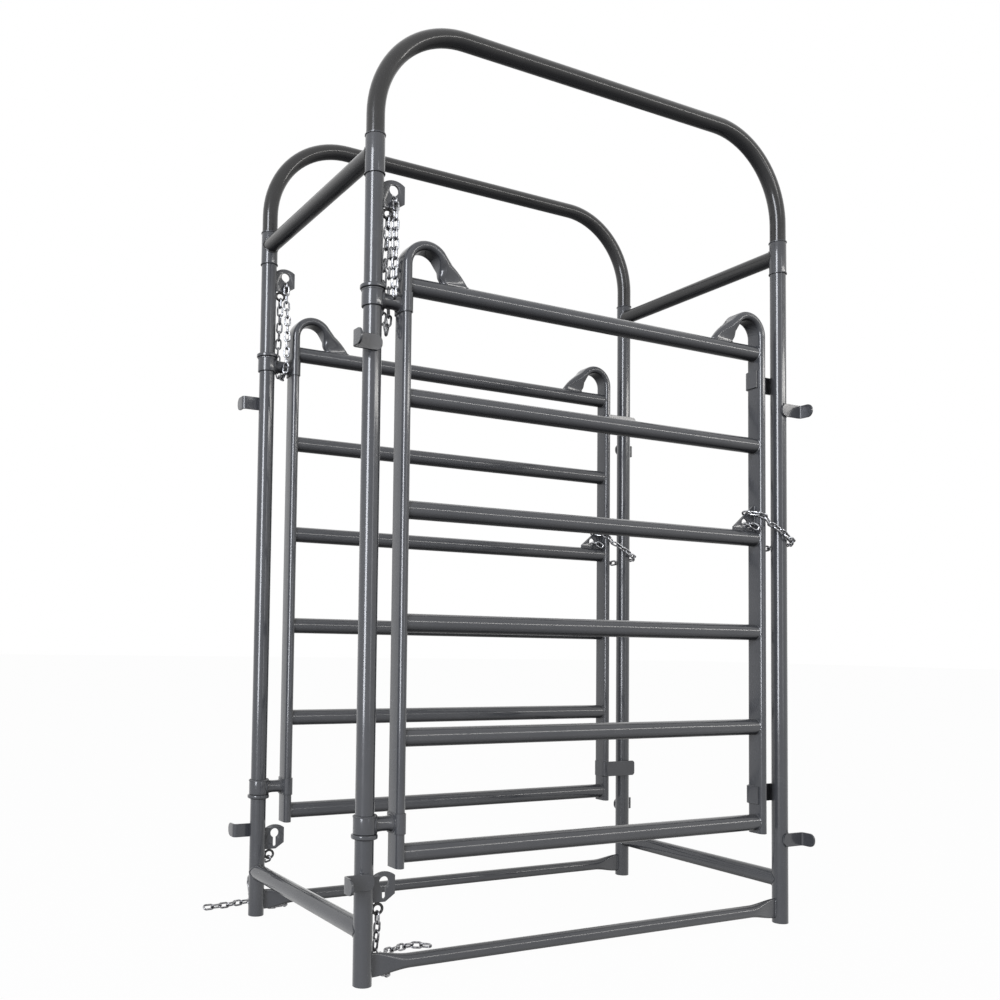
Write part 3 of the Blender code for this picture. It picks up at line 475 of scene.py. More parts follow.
class Shape:
    """A mesh in the making, in world metres."""

    sharp_angle: float = radians(40)
    bead_step: float = 0.0019
    bead_ripple: float = 0.13
    bead_end: float = 0.55
    bar_edge: float = 0.0007
    plate_edge: float = 0.0006

    def __init__(self) -> None:
        """Starts empty."""
        self.data = bmesh.new()

    def loft(self, rings: Sequence[Ring], looped: bool = False) -> "Shape":
        """Skins rings of points, closing both ends with a face.

        Args:
            rings: Rings with the same number of points.
            looped: True where the last ring joins the first one again.

        Returns:
            This shape.
        """
        loops = [[self.data.verts.new(point) for point in ring] for ring in rings]
        pairs = list(zip(loops, loops[1:]))
        if looped:
            pairs.append((loops[-1], loops[0]))
        for low, high in pairs:
            for i in range(len(low)):
                j = (i + 1) % len(low)
                self.data.faces.new((low[i], low[j], high[j], high[i]))
        if not looped:
            self.data.faces.new(loops[0])
            self.data.faces.new(loops[-1])
        return self

    def turned(self, centre: Vector, profile: Sequence[Pair]) -> "Shape":
        """Adds an upright turned ring with a closed profile of (radius, height) pairs."""
        rings = [section(centre + Z * height, X, Y, 2 * radius, 2 * radius, 48) for radius, height in profile]
        return self.loft(rings, looped=True)

    def wire(self, path: Ring, radius: float, sides: int, closed: bool = True,
             out: Vector | None = None, ripple: float = 0.0) -> "Shape":
        """Sweeps a round wire along a path.

        Args:
            path: The wire's centre line.
            radius: Its radius.
            sides: How many points go round the wire.
            closed: True where the path joins up again.
            out: A direction square to the path; by default it is away from the path's middle.
            ripple: How far the radius swells and shrinks every three points, as a share of it.

        Returns:
            This shape.
        """
        count = len(path)
        middle = sum(path, Vector()) / count
        rings = []
        for i, point in enumerate(path):
            before = path[i - 1] if closed or i else point
            after = path[(i + 1) % count] if closed or i + 1 < count else point
            along = (after - before).normalized()
            away = out or (point - middle)
            first = (away - along * away.dot(along)).normalized()
            size = 2 * radius * (1 + ripple * cos(tau * i / 3))
            if not closed and i in (0, count - 1):
                size *= self.bead_end
            rings.append(section(point, first, along.cross(first), size, size, sides))
        return self.loft(rings, looped=closed)

    def bead(self, path: Ring, radius: float, closed: bool = True, out: Vector | None = None) -> "Shape":
        """Lays a weld bead with its ripples along a path.

        Args:
            path: Points of the joint, close or far apart.
            radius: The bead's radius.
            closed: True where the joint joins up again.
            out: A direction square to the path.

        Returns:
            This shape.
        """
        ends = list(path) + ([path[0]] if closed else [])
        points = []
        for start, end in zip(ends, ends[1:]):
            steps = max(1, round((end - start).length / self.bead_step))
            points += [start.lerp(end, i / steps) for i in range(steps)]
        if not closed:
            points.append(ends[-1])
        return self.wire(points, radius, 6, closed, out, self.bead_ripple)

    def round_bead(self, centre: Vector, size: float, radius: float) -> "Shape":
        """Lays a weld bead round an upright tube."""
        return self.bead(section(centre, X, Y, size, size, 60), radius)

    def seams(self, start: Vector, end: Vector, out: Vector, offset: float,
              radius: float = 0.003) -> "Shape":
        """Lays straight weld beads along both faces of a plate or bar.

        Args:
            start: One end of the joint, midway between the faces.
            end: Its other end.
            out: Unit vector square to the faces.
            offset: How far each face lies from the middle.
            radius: The beads' radius.

        Returns:
            This shape.
        """
        for face in (-out, out):
            self.bead([start + face * offset, end + face * offset], radius, False, face)
        return self

    def bar(self, path: Sequence[tuple[Vector, float]]) -> "Shape":
        """Adds a flat bar on edge that follows a path in plan, with its long edges eased.

        Args:
            path: Points of the bar's centre line, each with the bar's height there.

        Returns:
            This shape.
        """
        points, heights = zip(*path)
        ways = [(after - before).normalized() for before, after in zip(points, points[1:])]
        rings = []
        for point, height, before, after in zip(points, heights, [ways[0], *ways], [*ways, ways[-1]]):
            mean = (before + after).normalized()
            out = Z.cross(mean) / mean.dot(before)
            edge, t, h = self.bar_edge, SIZES.plate / 2, height / 2
            corners = ((-t + edge, -h), (t - edge, -h), (t, -h + edge), (t, h - edge),
                       (t - edge, h), (-t + edge, h), (-t, h - edge), (-t, -h + edge))
            rings.append([point + out * a + Z * b for a, b in corners])
        return self.loft(rings)

    def cut_plate(self, outline: Outline, hole: Outline, origin: Vector) -> "Shape":
        """Adds an upright plate along X, with a hole and eased edges.

        Args:
            outline: The plate's outline, as pairs of how far along X and how far up.
            hole: The hole's outline.
            origin: The point that the outlines are measured from, midway between the faces.

        Returns:
            This shape.
        """
        curve = bpy.data.curves.new("plate_outline", "CURVE")
        curve.dimensions = "2D"
        curve.fill_mode = "BOTH"
        curve.extrude = SIZES.plate / 2 - self.plate_edge
        curve.bevel_depth = self.plate_edge
        curve.bevel_resolution = 1
        curve.offset = -self.plate_edge
        for points in (outline, hole):
            spline = curve.splines.new("POLY")
            spline.points.add(len(points) - 1)
            for place, (a, b) in zip(spline.points, points):
                place.co = (a, b, 0, 1)
            spline.use_cyclic_u = True
        holder = bpy.data.objects.new("plate_outline", curve)
        bpy.context.scene.collection.objects.link(holder)
        graph = bpy.context.evaluated_depsgraph_get()
        mesh = bpy.data.meshes.new_from_object(holder.evaluated_get(graph))
        x, y, z = origin
        mesh.transform(Matrix(((1, 0, 0, x), (0, 0, -1, y), (0, 1, 0, z), (0, 0, 0, 1))))
        self.data.from_mesh(mesh)
        bpy.data.objects.remove(holder)
        bpy.data.curves.remove(curve)
        bpy.data.meshes.remove(mesh)
        return self

    def piece(self, name: str, finish: Finish, body: str | None, *nodes: str) -> bpy.types.Object:
        """Turns the shape into a piece of the object.

        Args:
            name: The piece's name.
            finish: What it is finished in.
            body: The body that it moves with, or None to leave it on no body.
            nodes: The solids that it stands for.

        Returns:
            The piece.
        """
        bmesh.ops.remove_doubles(self.data, verts=self.data.verts[:], dist=1e-7)
        bmesh.ops.recalc_face_normals(self.data, faces=self.data.faces[:])
        mesh = bpy.data.meshes.new(name)
        self.data.to_mesh(mesh)
        self.data.free()
        mesh.shade_smooth()
        mesh.set_sharp_from_angle(angle=self.sharp_angle)
        mesh.materials.append(finish.material())
        made = bpy.data.objects.new(name, mesh)
        bpy.context.scene.collection.objects.link(made)
        if body:
            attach(made, body)
        if nodes:
            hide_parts(*nodes)
        log.info("%s: %d faces on %s", name, len(mesh.polygons), body)
        return made

    def enamelled(self, node: str, form: str, body: str) -> None:
        """Turns the shape into the enamelled piece that stands for a solid."""
        self.piece(f"{node}_{form}", ENAMEL, body, node)


@dataclass
class Frame:
    """Everything that stands still: legs, sleeves, bows, ties, sills, hooks and keyhole plates."""

    sizes: Sizes = SIZES
    body: str = "frame"
    foot_bore: float = 0.08
    foot_edge: float = 0.0006
    ring_width: float = 0.387 * INCH
    ring_height: float = 0.45 * INCH
    ring_under_hinge: float = 0.925 * INCH
    ring_over_hinge: float = 0.965 * INCH
    ring_fillet: float = 0.003
    ring_bead: float = 0.0032
    ring_bead_inset: float = 0.0006
    sleeve_length: float = 4.2 * INCH
    sleeve_fillet: float = 0.0012
    sleeve_bead: float = 0.0028
    bow_top: float = 101.8 * INCH
    bow_bend: float = 11.0 * INCH
    bow_steps: int = 22
    tie_heights: Pair = (5.5 * INCH, 86.7 * INCH)
    tie_bead: float = 0.0027
    sill: float = 1.9 * INCH
    sill_tube: float = 1.5 * INCH
    sill_end_height: float = 2.5 * INCH
    sill_end_thickness: float = 0.36 * INCH
    sill_flare: float = 4.5 * INCH
    sill_sunk: float = 0.0006
    sill_weld_inset: float = 0.006
    sill_steps: int = 14
    hook_height: float = 1.68 * INCH
    hook_heights: Pair = (10.6 * INCH, 66.0 * INCH)
    hook_reach: float = 2.75 * INCH
    hook_past_leg: float = 0.6 * INCH
    hook_flange: float = 1.9 * INCH
    hook_bend: float = 0.35 * INCH
    hook_round: float = 0.72 * INCH
    hook_weld_share: float = 0.93
    hook_weld: Pair = (0.25 * INCH, 0.45 * INCH)
    keyhole_width: float = 2.6 * INCH
    keyhole_crown: float = 0.45 * INCH
    keyhole_clip: float = 0.75 * INCH
    keyhole_radius: float = 0.57 * INCH
    keyhole_slot: float = 0.42 * INCH
    keyhole_weld_insets: Pair = (0.003, 0.005)
    anchor_wire_share: float = 0.62
    anchor_weld: float = 0.009
    anchor_weld_offset: float = 0.0028
    anchor_bead: float = 0.0026

    def build(self) -> None:
        """Builds every fixed piece."""
        for side in Side:
            for end in End:
                self.leg(side, end)
                self.sleeve(side, end)
                for level in Level:
                    self.hook(side, end, level)
            self.bow(side)
            self.side_sill(side)
            for level in Level:
                self.keyhole_plate(side, level)
                self.anchor_ring(side, level)
        for end in End:
            for level in reversed(Level):
                self.tie(end, level)

    def leg(self, side: Side, end: End) -> None:
        """Builds a leg with its open foot, and on a hinge leg its two stop rings.

        Args:
            side: The leg's side.
            end: The leg's end.
        """
        s = self.sizes
        foot = s.at(end, side)
        bore = s.tube - 2 * s.wall
        edge = self.foot_edge
        steps = ((0, s.tube - 2 * edge), (edge, s.tube), (s.leg_top - s.gap, s.tube))
        outside = [section(foot + Z * height, X, Y, size, size) for height, size in steps]
        inside = [section(foot + Z * height, X, Y, bore, bore) for height in (0, self.foot_bore)]
        shape = Shape().loft(mouth(outside, inside))
        if end is End.HINGE:
            tall, outer, inset = self.ring_height, s.radius + self.ring_width, self.ring_bead_inset
            low = s.hinge_heights[0] - self.ring_under_hinge - s.gap - tall
            high = s.hinge_heights[1] + self.ring_over_hinge
            for bottom in (low, high):
                profile = rounded(s.radius - s.weld, outer, bottom, bottom + tall, self.ring_fillet)
                shape.turned(foot, profile)
            for height in (low + inset, high + inset, high + tall - inset):
                shape.round_bead(foot + Z * height, s.tube + 2 * s.weld, self.ring_bead)
        shape.enamelled(f"{side.label}_{end.label}_leg", "tube", self.body)

    def sleeve(self, side: Side, end: End) -> None:
        """Builds the sleeve that joins a leg to its bow, welded at both ends.

        Args:
            side: The sleeve's side.
            end: The sleeve's end.
        """
        s = self.sizes
        centre = s.at(end, side, s.leg_top)
        half = self.sleeve_length / 2
        profile = rounded(s.radius + s.gap, s.sleeve_radius, -half, half, self.sleeve_fillet)
        shape = Shape().turned(centre, profile)
        for height in (-half, half):
            shape.round_bead(centre + Z * height, s.tube + 2 * s.weld, self.sleeve_bead)
        shape.enamelled(f"{side.label}_{end.label}_sleeve", "tube", self.body)

    def bow(self, side: Side) -> None:
        """Builds the bow over one side of the alley.

        Args:
            side: The bow's side.
        """
        s = self.sizes
        start = s.leg_top + s.gap
        stations = [(s.at(End.HINGE, side, start), -X)]
        for end, first in ((End.HINGE, 180), (End.LATCH, 90)):
            centre = s.at(end, side, self.bow_top - self.bow_bend) - X * (end.value * self.bow_bend)
            for i in range(self.bow_steps + 1):
                out = heading(first - 90 * i / self.bow_steps)
                stations.append((centre + out * self.bow_bend, out))
        stations.append((s.at(End.LATCH, side, start), X))
        rings = [section(point, out, Y, s.tube, s.tube) for point, out in stations]
        # The bow wears the copy of the enamel that is painted darker as shade.
        Shape().loft(rings).piece(f"{side.label}_bow_tube", SHADE_PAINTED_TOP_ENAMEL, self.body, f"{side.label}_arch")

    def tie(self, end: End, level: Level) -> None:
        """Builds a cross tie whose ends are coped to the posts, with its weld beads.

        Args:
            end: The tie's end of the alley.
            level: Lower between the legs, or upper between the sleeves.
        """
        s = self.sizes
        post = (s.radius, s.sleeve_radius)[level.value]
        centre = Vector((s.at(end, Side.NEAR).x, 0, self.tie_heights[level.value]))

        def coped(side: Side, sides: int) -> list[Vector]:
            """The ring of an end, lying on its post.

            Args:
                side: The end's side.
                sides: How many points the ring has.

            Returns:
                The ring.
            """
            ring = section(centre, X, Z, s.tube, s.tube, sides)
            for point in ring:
                across = min(abs(point.x - centre.x), post)
                point.y = s.y(side) - side.value * sqrt(post ** 2 - across ** 2)
            return ring

        shape = Shape().loft([coped(side, 40) for side in Side])
        for side in Side:
            shape.bead(coped(side, 60), self.tie_bead)
        node = f"{end.label}_end_{('bottom', 'top')[level.value]}_tie"
        # An upper tie wears the copy of the enamel that is painted darker as shade, and a lower tie the plain
        # enamel.
        shape.piece(node + "_tube", (ENAMEL, SHADE_PAINTED_TOP_ENAMEL)[level.value], self.body, node)

    def side_sill(self, side: Side) -> None:
        """Builds the sill, a round tube whose ends are pressed flat and flare where they meet the legs.

        Args:
            side: The sill's side.
        """
        s = self.sizes
        rings = []
        for end in End:
            stations = []
            for i in range(self.sill_steps + 1):
                share = i / self.sill_steps
                inward = s.radius - self.sill_sunk + self.sill_flare * share
                thick = eased(self.sill_end_thickness, self.sill_tube, share)
                tall = eased(self.sill_end_height, self.sill_tube, share)
                place = s.at(end, side, self.sill) - X * (end.value * inward)
                stations.append(section(place, Y, Z, thick, tall))
            rings += stations[::-end.value]
        shape = Shape().loft(rings)
        half = Z * (self.sill_end_height / 2 - self.sill_weld_inset)
        for end in End:
            root = s.at(end, side, self.sill) - X * (end.value * (s.radius - s.weld))
            shape.seams(root - half, root + half, Y, self.sill_end_thickness / 2)
        shape.enamelled(f"{side.label}_sill", "tube", self.body)

    def hook(self, side: Side, end: End, level: Level) -> None:
        """Builds a panel hook, a flat bar bent to an L and welded to its leg's outward face.

        Args:
            side: The hook's side.
            end: The hook's end.
            level: Lower or upper.
        """
        s = self.sizes
        along, away = X * end.value, Y * side.value
        leg = s.at(end, side, self.hook_heights[level.value])
        line = leg + away * (s.radius + s.gap + s.plate / 2)
        corner = line + along * self.hook_reach
        bend = arc(corner + (away - along) * self.hook_bend, self.hook_bend, -90, 0, 8, along, away)
        tip = round_tip(self.hook_height, self.hook_round, 7)
        path = [(line - along * (self.hook_past_leg - inset), tall) for inset, tall in tip]
        path += [(point, self.hook_height) for point in bend]
        path += [(corner + away * (self.hook_flange - inset), tall) for inset, tall in reversed(tip)]
        face = leg + away * (self.hook_weld_share * s.radius)
        first, last = self.hook_weld
        shape = Shape().bar(path)
        shape.seams(face - X * first, face + along * last, Z, self.hook_height / 2)
        shape.enamelled(f"{side.label}_{end.label}_{level.label}_hook", "bar", self.body)

    def keyhole_plate(self, side: Side, level: Level) -> None:
        """Builds a keyhole plate, welded to its hinge leg along one edge.

        Args:
            side: The plate's side.
            level: Lower or upper.
        """
        s = self.sizes
        half, crown, clip = self.keyhole_width / 2, self.keyhole_crown, self.keyhole_clip
        radius = (half * half + crown * crown) / (2 * crown)
        spread = asin(half / radius)
        left, top = -s.keyhole_inset, s.keyhole_drop
        right, bottom = left + self.keyhole_width, top - s.keyhole_tall
        points = []
        for i in range(17):
            turn = -spread + 2 * spread * i / 16
            points.append((left + half + radius * sin(turn), top - radius + radius * cos(turn)))
        points += [(right, bottom + clip), (right - 1.5 * clip, bottom), (left, bottom)]
        height = s.keyhole_tops[level.value]
        edge = s.at(End.HINGE, side, height) + X * s.radius
        along = End.HINGE.value * s.length / 2 + s.radius + s.gap + s.keyhole_inset
        origin = Vector((along, s.y(side), height - top))
        hole = keyhole(self.keyhole_radius, self.keyhole_slot, s.keyhole_reach, -pi / 2, 28)
        shape = Shape().cut_plate(points[::-1], hole, origin)
        low, high = self.keyhole_weld_insets
        shape.seams(edge - Z * (s.keyhole_tall - low), edge - Z * (crown + high), Y, s.plate / 2)
        shape.enamelled(f"{side.label}_{level.label}_keyhole_plate", "steel", self.body)

    def anchor_ring(self, side: Side, level: Level) -> None:
        """Builds the oval ring that is welded to the leg under a keyhole plate.

        Args:
            side: The ring's side.
            level: Lower or upper.
        """
        centre = Chain.anchor_centre(side, level)
        across, up = (Chain.anchor_width - Chain.wire) / 2, (Chain.anchor_height - Chain.wire) / 2
        path = arc(centre, 1, 0, 351, 39, X * across, Z * up)
        shape = Shape().wire(path, self.anchor_wire_share * Chain.wire, 12)
        root = self.sizes.at(End.HINGE, side, centre.z) + X * self.sizes.radius
        half = Z * self.anchor_weld
        shape.seams(root - half, root + half, Y, self.anchor_weld_offset, self.anchor_bead)
        shape.piece(f"{side.label}_{level.label}_anchor_ring", RING_STEEL, self.body)


@dataclass
class SwingGate:
    """One swing gate: two looped uprights, six rails, hinges, stop plates and the latch gusset."""

    side: Side
    sizes: Sizes = SIZES
    foot: float = 11.6 * INCH
    foot_bore: float = 0.07
    foot_edge: float = 0.0005
    loop_radius: float = 2.4 * INCH
    loop_rise: float = 2.1 * INCH
    loop_reach: float = 6.25 * INCH
    loop_turn: float = 135
    loop_steps: int = 24
    loop_foot_length: float = 3.4 * INCH
    loop_foot_thickness: float = 1.0 * INCH
    loop_foot_steps: int = 12
    loop_bead: float = 0.0026
    rail_bead: float = 0.0026
    hinge_height: float = 1.85 * INCH
    hinge_radius: float = 1.2 * INCH
    hinge_bore: float = 1.04 * INCH
    hinge_fillet: float = 0.0022
    lip_inset: float = 0.002
    lip_bead: float = 0.0032
    spacer_flare: tuple[Pair, ...] = (
        (0, 1.16), (0.1, 1.05), (0.22, 0.99), (0.4, 0.96), (0.62, 0.96), (0.8, 0.99), (0.91, 1.05), (1, 1.14),
    )
    saddle_height: float = 2.0 * INCH
    saddle_wall: float = 0.13 * INCH
    saddle_edge: float = 0.001
    saddle_sunk: float = 0.0002
    saddle_weld: float = 0.0012
    saddle_bead: float = 0.0022
    spacer_beads: tuple[Pair, Pair] = ((0.001, 0.0036), (-0.0006, 0.0032))
    stop_heights: Pair = (16.4 * INCH, 69.6 * INCH)
    stop_height: float = 2.2 * INCH
    stop_past_leg: float = 1.1 * INCH
    stop_round: float = 0.4 * INCH
    stop_bead: float = 0.0024
    gusset_width: float = 3.7 * INCH
    gusset_height: float = 3.4 * INCH
    gusset_toe: float = 0.35 * INCH
    gusset_rail: int = 3
    gusset_hole: float = 0.5 * INCH
    gusset_hole_inset: float = 1.77 * INCH
    gusset_hole_height: float = 0.95 * INCH
    gusset_slot: float = 0.34 * INCH
    gusset_reach: float = 1.25 * INCH
    gusset_slope: float = radians(16)
    gusset_weld_inset: float = 0.003
    gusset_bead: float = 0.0028

    @property
    def body(self) -> str:
        """The body that the gate's pieces move with."""
        return f"{self.side.label}_gate"

    @property
    def y(self) -> float:
        """The gate's plane."""
        return self.sizes.y(self.side)

    def at(self, end: End, height: float) -> Vector:
        """A point on an upright's centre line."""
        inset = self.sizes.upright_insets[end is End.LATCH]
        return self.sizes.at(end, self.side, height) - X * (end.value * inset)

    def build(self) -> None:
        """Builds every piece of the gate."""
        for end in End:
            self.upright(end)
        for index in range(self.sizes.rails):
            self.rail(index)
        for level in Level:
            self.hinge(level)
        for level in Level:
            self.stop_plate(level)
        self.gusset()

    def nose_gap(self, y: float) -> float:
        """How far an upright's side lies from its middle plane at some depth.

        Args:
            y: The world Y of the place.

        Returns:
            Half the upright's thickness there.
        """
        s = self.sizes
        half = s.upright_thickness / 2
        past = abs(y - self.y) - (s.upright_depth / 2 - half)
        return half if past <= 0 else sqrt(max(half * half - past * past, 0))

    def around(self, place: Vector, grown: float, sides: int = 40) -> list[Vector]:
        """A ring round an upright, so far outside it."""
        s = self.sizes
        return section(place, X, Y, s.upright_thickness + 2 * grown, s.upright_depth + 2 * grown, sides)

    def upright(self, end: End) -> None:
        """Builds an upright with its top bent over and pinched where it lands on the top rail.

        Args:
            end: The upright's end.
        """
        s = self.sizes
        toward = X * -end.value
        thick, deep, bore = s.upright_thickness, s.upright_depth, 2 * s.wall
        foot = self.at(end, self.foot)
        inside = [section(foot + Z * height, toward, Y, thick - bore, deep - bore)
                  for height in (0, self.foot_bore)]
        edge = self.foot_edge
        rings = [section(foot, toward, Y, thick - 2 * edge, deep - 2 * edge),
                 section(foot + Z * edge, toward, Y, thick, deep)]
        centre = self.at(end, s.top_rail + self.loop_rise) + toward * self.loop_radius
        for i in range(self.loop_steps + 1):
            out = heading(180 - self.loop_turn * i / self.loop_steps, toward)
            last = centre + out * self.loop_radius
            rings.append(section(last, -out, Y, thick, deep))
        landing = self.at(end, s.top_rail + s.radius) + toward * self.loop_reach
        for i in range(1, self.loop_foot_steps + 1):
            share = i / self.loop_foot_steps
            across = -heading(eased(180 - self.loop_turn, 0, share), toward)
            width = eased(thick, self.loop_foot_length, share)
            depth = eased(deep, self.loop_foot_thickness, share)
            rings.append(section(last.lerp(landing, share), across, Y, width, depth))
        rings.append(section(landing - Z * (s.radius / 2), -toward, Y, width, depth))
        shape = Shape().loft(mouth(rings, inside))
        seat = section(landing, X, Y, self.loop_foot_length, self.loop_foot_thickness, 60)
        for point in seat:
            point.z = s.top_rail + sqrt(s.radius ** 2 - (point.y - self.y) ** 2)
        shape.bead(seat, self.loop_bead)
        shape.enamelled(f"{self.body}_{end.label}_upright", "tube", self.body)

    def rail(self, index: int) -> None:
        """Builds a rail whose ends meet the uprights' sides, with its weld beads.

        Args:
            index: The rail's number from the lowest, counted from zero.
        """
        s = self.sizes
        height = s.first_rail + index * s.rail_step

        def coped(end: End, sides: int) -> list[Vector]:
            """The ring of an end, lying on its upright.

            Args:
                end: The rail's end.
                sides: How many points the ring has.

            Returns:
                The ring.
            """
            upright = self.at(end, height)
            ring = section(upright, Y, Z, s.tube, s.tube, sides)
            for point in ring:
                point.x = upright.x - end.value * self.nose_gap(point.y)
            return ring

        shape = Shape().loft([coped(end, 40) for end in End])
        for end in End:
            shape.bead(coped(end, 60), self.rail_bead)
        shape.enamelled(f"{self.body}_rail_{index + 1}", "tube", self.body)

    def hinge(self, level: Level) -> None:
        """Builds a hinge: the sleeve on the leg, the spacer, and the saddle round the upright.

        Args:
            level: Lower or upper.
        """
        s = self.sizes
        height = s.hinge_heights[level.value]
        axis, upright = s.at(End.HINGE, self.side, height), self.at(End.HINGE, height)
        half = self.hinge_height / 2
        profile = rounded(self.hinge_bore, self.hinge_radius, -half, half, self.hinge_fillet)
        shape = Shape().turned(axis, profile)
        fillets = []
        for share, grown in self.spacer_flare:
            ring = section(axis, Y, Z, s.spacer * grown, s.spacer * grown)
            for point in ring:
                first = axis.x + sqrt(self.hinge_radius ** 2 - (point.y - self.y) ** 2) - s.weld
                last = upright.x - self.nose_gap(point.y) - self.saddle_wall * 0.8
                point.x = first + (last - first) * share
            fillets.append(ring)
        shape.loft(fillets)
        for ring, (shift, radius) in zip((fillets[0], fillets[-1]), self.spacer_beads):
            shape.bead([point + X * shift for point in ring], radius)
        inset = self.lip_inset
        shape.round_bead(axis + Z * (half - inset), 2 * (self.hinge_radius - inset), self.lip_bead)
        tall, wall, edge, bore = self.saddle_height / 2, self.saddle_wall, self.saddle_edge, -self.saddle_sunk
        profile = ((bore, -tall), (wall - edge, -tall), (wall, -tall + edge),
                   (wall, tall - edge), (wall - edge, tall), (bore, tall))
        shape.loft([self.around(upright + Z * rise, grown) for grown, rise in profile], looped=True)
        for rise in (-tall, tall):
            shape.bead(self.around(upright + Z * rise, self.saddle_weld, 60), self.saddle_bead)
        shape.enamelled(f"{self.body}_{level.label}_hinge", "steel", self.body)

    def stop_plate(self, level: Level) -> None:
        """Builds a stop plate, bent round the latch upright and reaching behind the latch leg.

        Args:
            level: Lower or upper.
        """
        s = self.sizes
        into = Y * -self.side.value
        middle = self.at(End.LATCH, self.stop_heights[level.value])
        offset = s.upright_thickness / 2 + s.gap + s.plate / 2
        nose = into * ((s.upright_depth - s.upright_thickness) / 2)
        around = arc(middle + nose, offset, 180, 90, 10, X, into)
        tip = s.at(End.LATCH, self.side, middle.z) + X * self.stop_past_leg + nose + into * offset
        ending = reversed(round_tip(self.stop_height, self.stop_round, 6))
        path = [(point, self.stop_height) for point in (middle - X * offset - nose, *around)]
        path += [(tip - X * inset, tall) for inset, tall in ending]
        shape = Shape().bar(path)
        for up in (-Z, Z):
            edge = middle + nose + up * (self.stop_height / 2)
            joint = arc(edge, offset - s.plate / 2, 180, 90, 8, X, into)
            shape.bead([joint[0] - nose, *joint], self.stop_bead, False, up)
        shape.enamelled(f"{self.body}_{level.label}_stop_plate", "bar", self.body)

    def gusset_corner(self) -> Vector:
        """The inner corner of the gusset, where the upright meets the rail under it.

        Returns:
            The corner.
        """
        s = self.sizes
        height = s.first_rail + self.gusset_rail * s.rail_step + s.radius + s.gap
        return self.at(End.LATCH, height) - X * (s.upright_thickness / 2 + s.gap)

    def gusset(self) -> None:
        """Builds the triangular gusset with the keyhole that takes the latch chain."""
        corner, half = self.gusset_corner(), self.sizes.plate / 2
        outline = [(0, 0), (0, self.gusset_height), (-self.gusset_width, self.gusset_toe),
                   (-self.gusset_width, 0)]
        hole = keyhole(self.gusset_hole, self.gusset_slot, self.gusset_reach, -self.gusset_slope, 24)
        cut = [(a - self.gusset_hole_inset, b + self.gusset_hole_height) for a, b in hole]
        shape = Shape().cut_plate(outline, cut, corner)
        inset = self.gusset_weld_inset
        for way, reach in ((Z, self.gusset_height), (-X, self.gusset_width)):
            shape.seams(corner + way * inset, corner + way * (reach - inset), Y, half, self.gusset_bead)
        shape.enamelled(f"{self.body}_latch_gusset", "steel", self.body)


